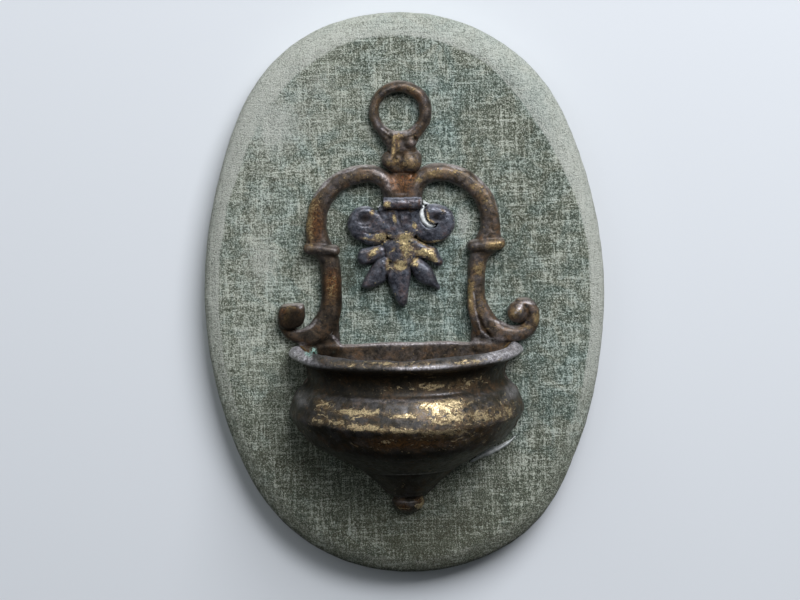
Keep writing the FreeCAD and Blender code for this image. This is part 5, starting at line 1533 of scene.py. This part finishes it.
# ---- Velvet panel ------------------------------------------------------------------------------
@dataclass
class VelvetPanel:
    """Velvet drawn over the oval board, its pile and the turned edge at the back."""
    half_width: float = 68.75
    half_height: float = 97.0
    end_radius: float = 61.0
    thick: float = 1.1
    around: int = 396           # points round the oval
    front_rings: int = 74
    fuller: float = 1.5         # how much fuller the oval is towards two of its sides
    fuller_at: tuple[float, float] = (2.25, 5.42)
    fuller_wide: float = 0.42
    leaner: float = 0.3         # how much leaner it is all round
    hollows: float = 0.20       # depth of its broad dents
    crush: float = 0.10         # depth of its fine ones
    sunk: float = 0.12          # how far the pile of the face is pressed in
    pleats: int = 37
    pleat_depth: float = 0.35
    section: Rows = (           # inset and depth, from the turned edge to the face
        (14.0, 0.62), (10.0, 0.55), (6.0, 0.55), (2.6, 0.6), (0.9, 1.1), (0.15, 2.4), (0.0, 4.6),
        (0.0, 7.0), (0.25, 8.9), (1.2, 10.4), (3.0, 11.8), (5.0, 13.0), (7.0, 13.65), (9.4, 13.8))
    # spots of worn pile, some of them painted light beside the castings
    fade_and_light_spots: Rows = (        # x, z, width, height and amount
        (-43, 60, 5, 7, 0.5), (-27, 74, 6, 4, 0.35), (12, 68, 3, 8, 0.45), (20, 25, 3, 7, 0.5),
        (34, 46, 4, 9, 0.3), (-48, 14, 5, 8, 0.3), (10, 74, 4, 3, 0.4), (-55, -14, 5, 7, 0.3),
        (52, -6, 5, 12, 0.3), (-50, 18, 15, 44, 0.45), (-36, 62, 18, 16, 0.55), (21, 27, 3, 7, 0.45),
        (13, 35, 6, 2, 0.5), (-6, 43.5, 3, 4, 0.3), (-30, -12, 5, 3, 0.2), (31, 0, 4, 6, 0.3),
        (0, 84, 26, 7, 0.3))
    # spots of soiling and of painted shade: in the middle, under the bowl, lower left and at the right
    soil_and_shade_spots: Rows = (
        (0, 4, 30, 32, 0.5), (-40, -50, 22, 24, 0.36), (44, 12, 15, 36, 0.34), (22, 60, 14, 14, 0.2),
        (-22, 12, 6, 16, 0.2), (4, -80, 30, 12, 0.45), (-8, 12, 13, 14, 0.2))
    teal_spots: Rows = (
        (0, 6, 30, 42, 0.7), (12, 66, 9, 14, 0.5), (48, -30, 22, 36, 0.35), (-42, 60, 12, 14, 0.3))

    def arcs(self) -> tuple[float, float, float]:
        """Work out the oval's long side arcs.

        Returns:
            Their radius, the height of the end arcs' middle and how far past the axis their own lies.
        """
        side = ((self.half_width ** 2 + self.half_height ** 2 - 2 * self.half_height * self.end_radius)
                / (2 * (self.half_width - self.end_radius)))
        return side, self.half_height - self.end_radius, side - self.half_width

    def around_points(self, inset: float) -> np.ndarray:
        """Evenly spaced points of the oval.

        Args:
            inset: How far they are moved in.

        Returns:
            Rows of x and z.
        """
        side, end_z, side_x = self.arcs()
        lean = math.atan2(end_z, side_x)
        turns = np.linspace(0, 2 * math.pi, 2401)
        on_side = np.abs((turns + math.pi / 2) % math.pi - math.pi / 2) < lean
        steps = np.where(on_side, side, self.end_radius)[:-1] * np.diff(turns)
        length = np.concatenate([[0], np.cumsum(steps)])
        turn = np.interp(np.arange(self.around) / self.around * length[-1], length, turns)
        on_side = np.abs((turn + math.pi / 2) % math.pi - math.pi / 2) < lean
        out_x, out_z = np.cos(turn), np.sin(turn)
        radius = np.where(on_side, side, self.end_radius) - inset
        x = np.where(on_side, -side_x * np.sign(out_x), 0.0) + radius * out_x
        z = np.where(on_side, 0.0, end_z * np.sign(out_z)) + radius * out_z
        first, second = (np.exp(-(((turn - middle) / self.fuller_wide) ** 2)) for middle in self.fuller_at)
        out = self.fuller * first + self.fuller * second - self.leaner
        return np.stack([x + out * out_x, z + out * out_z], axis=1)

    def inset_of(self, x: np.ndarray, z: np.ndarray) -> np.ndarray:
        """How far places lie in from the oval's outline.

        Args:
            x: Their x.
            z: Their z.

        Returns:
            A distance for each place.
        """
        side, end_z, side_x = self.arcs()
        x, z = np.abs(x), np.abs(z)
        by_end = self.end_radius - np.hypot(x, z - end_z)
        by_side = side - np.hypot(x + side_x, z)
        return np.where(z > end_z + x * end_z / side_x, by_end, by_side)

    def rings(self) -> list[np.ndarray]:
        """Outer and inner skins as rings of points, from the turned edge to the middle.

        Returns:
            For each skin, rings of points of x, z and depth.
        """
        rows = curved(self.section, 4)
        step = np.gradient(rows, axis=0)
        step /= np.linalg.norm(step, axis=1)[:, None]
        inward = rows + np.stack([step[:, 1], -step[:, 0]], axis=1) * self.thick
        skins = []
        for line in (rows, inward):
            made = [np.column_stack([self.around_points(inset), np.full(self.around, depth)])
                    for inset, depth in line]
            edge = made[-1]
            made += [edge * (share, share, 1) for share in np.linspace(1, 0, self.front_rings)[1:-1]]
            skins.append(np.array(made))
        return skins

    def model(self) -> Casting:
        """Join the two skins into one closed cloth.

        Returns:
            The cloth, still smooth.
        """
        outer, inner = self.rings()
        count, around = outer.shape[:2]
        flat = np.concatenate([part for skin in (outer, inner)
                               for part in (skin.reshape(-1, 3), [[0, 0, skin[-1, 0, 2]]])])
        here = np.arange(around)
        nxt = (here + 1) % around
        faces = []
        for skin, start in enumerate((0, count * around + 1)):
            for ring in range(count - 1):
                a, b = start + ring * around, start + (ring + 1) * around
                strip = np.stack([a + here, a + nxt, b + nxt, b + here], axis=1)
                faces.append(strip if skin == 0 else strip[:, ::-1])
            last, pole = start + (count - 1) * around, np.full(around, start + count * around)
            fan = np.stack([last + here, last + nxt, pole, pole], axis=1)
            faces.append(fan if skin == 0 else fan[:, [1, 0, 2, 3]])
        inside = count * around + 1
        faces.append(np.stack([inside + here, inside + nxt, nxt, here], axis=1))
        points = np.stack([flat[:, 0], -flat[:, 2], flat[:, 1]], axis=1)
        return Casting("velvet_cover_cloth", points, np.concatenate(faces))

    def crease(self, cloth: Casting, turn: np.ndarray) -> None:
        """Give the cloth its soft hollows and, behind, its pleats.

        Args:
            cloth: The cloth.
            turn: Angle of each point round the panel.
        """
        x, y, z = cloth.points.T
        reach = np.hypot(x / self.half_width, z / self.half_height)
        front = np.clip((-y - 12.0) / 1.8, 0, 1)
        behind = np.clip((1.6 + y) / 0.6, 0, 1) * np.clip((reach - 0.78) * 8, 0, 1)
        push = rough_noise(cloth.points, 22.0, 3, 71) * self.hollows
        push = push + rough_noise(cloth.points, 3.2, 3, 72) * self.crush
        pleat = np.abs(np.sin(turn * self.pleats + 2.0 * np.sin(turn * 5))) ** 3 * behind * self.pleat_depth
        cloth.points = cloth.points + cloth.normals() * (push * (1 - behind) - self.sunk * front)[:, None]
        cloth.points[:, 1] = np.minimum(cloth.points[:, 1] - pleat, -0.02)

    def wear(self, cloth: Casting, x: np.ndarray, z: np.ndarray, turn: np.ndarray) -> None:
        """Store where the pile is worn lighter, with painted light on the bevel's lit sides and beside the
        castings; where it is darker, with painted shade under the bowl and towards the bottom; and where it
        is blue-green.

        Args:
            cloth: The cloth.
            x: Place of each point before the cloth was creased.
            z: Place of each point before the cloth was creased.
            turn: Angle of each point round the panel.
        """
        def facing(middle: float, wide: float) -> np.ndarray:
            """Share from 0 to 1 by how near a point's side is to an angle."""
            return np.exp(-(((np.degrees(turn) - middle + 180) % 360 - 180) / wide) ** 2)

        inset = self.inset_of(x, z)
        ridge = 6.0 + 4.6 * facing(60, 20) + 1.5 * facing(100, 25) + rough_noise(cloth.points, 16.0, 2,
                                                                                 73) * 0.9
        beyond = np.clip((ridge - inset) / 0.9, 0, 1)
        # how much lighter each side of the bevel is: worn pile, and painted light, strongest on the right
        # where the lamp falls
        fade_and_light_by_side = (0.6 * facing(60, 32) + 1.6 * facing(6, 34) + 0.55 * facing(105, 28) + 0.6 * facing(150, 34)
                + 0.4 * facing(195, 30) + 0.42 * facing(-90, 50))
        fade_and_light = beyond * np.clip(fade_and_light_by_side, 0, 1.15) + 0.35 * np.exp(-((inset - ridge + 0.6) / 0.9) ** 2) * fade_and_light_by_side
        fade_and_light = fade_and_light + sum(spot[4] * bell(x, z, spot) for spot in self.fade_and_light_spots)
        # darker towards the bottom, partly painted shade, and on the bevel's lower side
        below = np.clip((-z - 30) / 60, 0, 1)
        soil_and_shade = below * 0.55 + beyond * facing(-95, 55) * 0.12
        soil_and_shade = soil_and_shade + sum(spot[4] * bell(x, z, spot) for spot in self.soil_and_shade_spots)
        teal = 0.15 + 0.5 * beyond * facing(55, 30) - 0.6 * below - 0.4 * beyond * facing(200, 60)
        teal = teal + sum(spot[4] * bell(x, z, spot) for spot in self.teal_spots)
        cloth.values["fade_and_light"] = np.clip(fade_and_light, 0, 1.2)
        cloth.values["soil_and_shade"] = np.clip(soil_and_shade, 0, 1.3)
        cloth.values["teal"] = np.clip(teal, 0, 1)

    def build(self) -> bpy.types.Object:
        """Make the cloth, with its worn pile, its painted light and shade, soft hollows and pleats behind.

        Returns:
            The piece.
        """
        cloth = self.model()
        x, _, z = cloth.points.T
        turn = np.arctan2(z, x)
        self.crease(cloth, turn)
        self.wear(cloth, x, z, turn)
        return cloth.to_object(VELVET_FINISH.make(), "velvet_cover", "velvet")


@dataclass
class BackLining:
    """Paper lining with its cut-out for the hanger."""
    panel: VelvetPanel
    inset: float = 12.0
    hole_z: float = 66.0
    hole_half: tuple[float, float] = (10.4, 14.9)
    corner: float = 4.0
    grid: float = 3.0           # gap between the paper's inner points
    clear: float = 15.0         # how far in from the panel's edge those lie
    uneven: float = 0.25        # how far its cut edge strays
    cockle: tuple[float, float] = (0.08, 0.12)      # how far it waves, and how far off the back it lies
    thick: float = 0.28

    def hole(self) -> list[tuple[float, float]]:
        """Rounded cut-out round the hanger.

        Returns:
            Points of x and z.
        """
        wide, tall = self.hole_half[0] - self.corner, self.hole_half[1] - self.corner
        points = []
        for start, sx, sz in ((0, 1, 1), (90, -1, 1), (180, -1, -1), (270, 1, -1)):
            for angle in range(start, start + 91, 15):
                turn = math.radians(angle)
                points.append((sx * wide + self.corner * math.cos(turn),
                               self.hole_z + sz * tall + self.corner * math.sin(turn)))
        return points

    def near_hole(self, plan: np.ndarray, margin: float) -> np.ndarray:
        """Which places in plan lie in the cut-out's box, grown by a margin."""
        away = np.abs(plan - (0, self.hole_z))
        return (away < np.array(self.hole_half) + margin).all(axis=-1)

    def pattern(self) -> tuple[np.ndarray, list[list[int]]]:
        """Cut the paper flat.

        Returns:
            Its points of x and z, and its faces.
        """
        edge = self.panel.around_points(self.inset)[::2]
        edge = edge + flat_noise(edge, 6.0, 1, 81)[:, None] * self.uneven
        hole = self.hole()
        across, up = np.meshgrid(np.arange(-64, 65, self.grid), np.arange(-92, 93, self.grid))
        spots = np.column_stack([across.ravel(), up.ravel()])
        room = (self.panel.half_width - self.clear, self.panel.half_height - self.clear)
        spots = spots[np.hypot(*(spots / room).T) < 1]
        spots = spots[~self.near_hole(spots, 1)]
        every = [Vector(p) for p in (*edge.tolist(), *hole, *spots.tolist())]
        first, second = len(edge), len(edge) + len(hole)
        found, _, faces, *_ = delaunay_2d_cdt(every, [], [range(first), range(first, second)], 1, 1e-5)
        plan = np.array([p[:] for p in found])
        return plan, [face for face in faces if not self.near_hole(plan[face].mean(axis=0), -0.3)]

    def build(self) -> bpy.types.Object:
        """Make the sheet of paper, a little cockled.

        Returns:
            The piece.
        """
        plan, faces = self.pattern()
        wave, lift = self.cockle
        depths = flat_noise(plan, 16.0, 2, 82) * wave + lift
        bm = bmesh.new()
        verts = [bm.verts.new((x * MM, -depth * MM, z * MM)) for (x, z), depth in zip(plan, depths)]
        for corners in faces:
            bm.faces.new([verts[n] for n in corners])
        bmesh.ops.delete(bm, geom=[v for v in bm.verts if not v.link_faces], context="VERTS")
        top = bmesh.ops.extrude_face_region(bm, geom=bm.faces[:])
        for item in top["geom"]:
            if isinstance(item, bmesh.types.BMVert):
                item.co.y -= self.thick * MM
        bmesh.ops.recalc_face_normals(bm, faces=bm.faces)
        mesh = bpy.data.meshes.new("lining_paper")
        bm.to_mesh(mesh)
        bm.free()
        mesh.materials.append(LINING_FINISH.make())
        return settle(placed("lining_paper", mesh), ["back_lining"])


# ---- Tacks -------------------------------------------------------------------------------------
class TackRow(ShapeTree):
    """Geometry Nodes tree that sets a tack at each point of the carrier, each turned its own way."""
    SEED = 5
    SHANK = (0.6 * MM, 0.1 * MM)            # radius under the head and at the tip

    def __init__(self) -> None:
        """Wire the tree: a domed head on a tapered shank, copied to every point."""
        super().__init__("Row of tacks", {"Head radius": "Float", "Head height": "Float",
                                          "Shank length": "Float", "Tilt": "Float"})
        given = self.given
        dome = self.node("GeometryNodeMeshUVSphere", {"Segments": 20, "Rings": 10,
                                                      "Radius": given["Head radius"]})
        ratio = self.math("DIVIDE", given["Head height"], given["Head radius"])
        size = self.node("ShaderNodeCombineXYZ", {0: 1.0, 1: 1.0, 2: ratio}).outputs[0]
        flat = self.node("GeometryNodeTransform", {"Geometry": dome.outputs["Mesh"],
                                                   "Scale": size}).outputs[0]
        shank = self.node("GeometryNodeMeshCone", {
            "Vertices": 8, "Radius Top": self.SHANK[1], "Radius Bottom": self.SHANK[0],
            "Depth": given["Shank length"]})
        tack = self.node("GeometryNodeJoinGeometry", {0: shank.outputs["Mesh"]})
        self.feed(tack.inputs[0], flat)
        less = self.times(given["Tilt"], -1.0)
        low = self.node("ShaderNodeCombineXYZ", {0: less, 1: less}).outputs[0]
        high = self.node("ShaderNodeCombineXYZ", {0: given["Tilt"], 1: given["Tilt"],
                                                  2: 2 * math.pi}).outputs[0]
        chance = self.node("FunctionNodeRandomValue", {0: low, 1: high, "Seed": self.SEED},
                           data_type="FLOAT_VECTOR").outputs[0]
        copies = self.node("GeometryNodeInstanceOnPoints", {
            "Points": given["Geometry"], "Instance": tack.outputs[0], "Rotation": (math.pi / 2, 0.0, 0.0)})
        self.end(self.node("GeometryNodeRotateInstances", {"Instances": copies.outputs[0],
                                                           "Rotation": chance}).outputs[0])


@dataclass
class VelvetTacks:
    """Small tacks that hold the turned velvet behind."""
    panel: VelvetPanel
    count: int = 22
    inset: float = 7.0
    start: float = 0.707        # first place, as a share of the gap between tacks
    head_depth: float = 0.38
    head_radius: float = 2.0
    head_height: float = 0.3
    shank: float = 7.0
    tilt: float = 0.03          # largest lean, in radians

    def build(self) -> bpy.types.Object:
        """Make the row of tacks.

        Returns:
            The piece.
        """
        places = self.panel.around_points(self.inset)
        chosen = np.round((np.arange(self.count) + self.start) * len(places) / self.count).astype(int)
        points = [(x * MM, -self.head_depth * MM, z * MM) for x, z in places[chosen]]
        made = TackRow().run("tack_places", points, [], {
            "Head radius": self.head_radius * MM, "Head height": self.head_height * MM,
            "Shank length": self.shank * MM, "Tilt": self.tilt, "Finish": TACK_FINISH.make()})
        made.name = "tack_row"
        return settle(placed("tack_row", made), ["velvet_tacks"])


# ---- Studio ------------------------------------------------------------------------------------
@dataclass
class Studio:
    """Pale wall and floor, soft lamps and the camera."""
    distance: float = 0.9
    elevation: float = 8.0
    roll: float = 1.15
    lens: float = 117.1
    shift: tuple[float, float] = (-0.0056, -0.00875)
    sky: tuple[float, float] = (0.02, 0.42)     # light from below and from above
    sky_colour: Colour = (0.88, 0.94, 1.0)
    wall_colour: Colour = tint(214, 218, 220)
    floor_colour: Colour = tint(206, 208, 208)
    wide: float = 3.0
    floor_z: float = -1.1
    wall_top: float = 2.0
    wall_gap: float = 0.0006    # between the panel's back and the wall
    lamp_size: float = 0.8
    lamps: Sequence[tuple[str, Colour, float, Colour]] = (      # name, place, power and colour
        ("key", (0.42, -0.86, 0.87), 23.5, (0.94, 0.945, 1.0)),
        ("fill", (-0.8, -0.9, 0.6), 2.0, (0.93, 0.96, 1.0)),
        ("back", (-0.3, 1.3, 0.5), 9.0, (1.0, 1.0, 1.0)))

    def camera(self) -> None:
        """Set the camera in front, a little above."""
        data = bpy.data.cameras.new("camera")
        data.lens, data.sensor_width = self.lens, 36.0
        data.shift_x, data.shift_y = self.shift
        data.clip_start, data.clip_end = 0.01, 20.0
        camera = placed("camera", data)
        up = math.radians(self.elevation)
        camera.location = (0.0, -self.distance * math.cos(up), self.distance * math.sin(up))
        camera.rotation_mode = "QUATERNION"
        look = (-camera.location).to_track_quat("-Z", "Y")
        camera.rotation_quaternion = look @ Quaternion((0.0, 0.0, 1.0), -math.radians(self.roll))
        bpy.context.scene.camera = camera

    def plane(self, name: str, low: Sequence[float], high: Sequence[float],
              material: bpy.types.Material) -> None:
        """Lay or stand one flat sheet of the set.

        Args:
            name: Its name.
            low: Its first corner.
            high: Its opposite corner, at the same y where it stands or the same z where it lies.
            material: Its paint.
        """
        (x0, y0, z0), (x1, y1, z1) = low, high
        mesh = bpy.data.meshes.new(name)
        mesh.from_pydata([(x0, y0, z0), (x1, y0, z0), (x1, y1, z1), (x0, y1, z1)], [], [(0, 1, 2, 3)])
        mesh.materials.append(material)
        placed(name, mesh)

    def paints(self) -> list[bpy.types.Material]:
        """Paints of wall and floor, which throw no light back at the piece.

        Returns:
            The wall's paint, which shows from the front only, and the floor's.
        """
        wall, floor = Graph("Pale wall"), Graph("Pale floor")
        front = wall.minus(1.0, wall.node("ShaderNodeNewGeometry").outputs["Backfacing"])
        seen = wall.times(front, wall.node("ShaderNodeLightPath").outputs["Is Camera Ray"])
        return [wall.seen_only(seen, self.wall_colour),
                floor.seen_only(floor.node("ShaderNodeLightPath").outputs["Is Camera Ray"],
                                self.floor_colour)]

    def lamp(self, name: str, spot: Sequence[float], power: float, colour: Colour) -> None:
        """Hang a soft square lamp that points at the middle of the panel.

        Args:
            name: Its name.
            spot: Its place, in metres.
            power: Its power, in watts.
            colour: Its colour.
        """
        data = bpy.data.lights.new(name, "AREA")
        data.size, data.energy, data.color = self.lamp_size, power, colour
        lamp = placed(name, data)
        lamp.location = spot
        lamp.rotation_mode = "QUATERNION"
        lamp.rotation_quaternion = (-Vector(spot)).to_track_quat("-Z", "Y")

    def world(self) -> None:
        """Set plain surroundings: whitish where they are seen, dimmer as light."""
        world = bpy.data.worlds.new("surroundings")
        world.use_nodes = True
        bpy.context.scene.world = world
        sky = Wiring(world.node_tree)
        path = sky.node("ShaderNodeLightPath").outputs
        seen = sky.plus(path["Is Camera Ray"], path["Is Transmission Ray"], True)
        place = sky.node("ShaderNodeTexCoord").outputs["Generated"]
        height = sky.node("ShaderNodeSeparateXYZ", {0: place}).outputs["Z"]
        light = sky.node("ShaderNodeMapRange", {0: height, 1: -0.5, 2: 0.9, 3: self.sky[0], 4: self.sky[1]})
        strength = sky.node("ShaderNodeMix", {0: seen, 2: light.outputs[0], 3: 1.0}).outputs[0]
        back = sky.node("ShaderNodeBackground", {0: self.sky_colour, 1: strength})
        sky.node("ShaderNodeOutputWorld", {0: back.outputs[0]})

    def build(self) -> None:
        """Set up everything round the object."""
        self.camera()
        wide, low, wall = self.wide, self.floor_z, self.wall_gap
        wall_paint, floor_paint = self.paints()
        self.plane("wall", (-wide, wall, low), (wide, wall, self.wall_top), wall_paint)
        self.plane("floor", (-wide, -wide, low), (wide, wide, low), floor_paint)
        for row in self.lamps:
            self.lamp(*row)
        self.world()
        bpy.context.scene.view_settings.view_transform = "Standard"


def dress_cad_nodes() -> None:
    """Give the CAD nodes that stay in view, or lie inside, their own finishes."""
    for name, finish in CAD_FINISHES.items():
        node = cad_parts[name]
        node.data.materials.clear()
        node.data.materials.append(finish.make())


def main() -> None:
    """Build every piece in order."""
    logging.basicConfig(level=logging.INFO, format="%(message)s")
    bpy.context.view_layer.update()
    Studio().build()
    dress_cad_nodes()
    ScrollFrame().build()
    HangingRing().build()
    Palmette().build()
    Bowl().build()
    DropFinial().build()
    GlueSqueeze().build()
    panel = VelvetPanel()
    velvet = panel.build()
    BackLining(panel).build()
    VelvetTacks(panel).build()


if __name__ == "__main__":
    main()
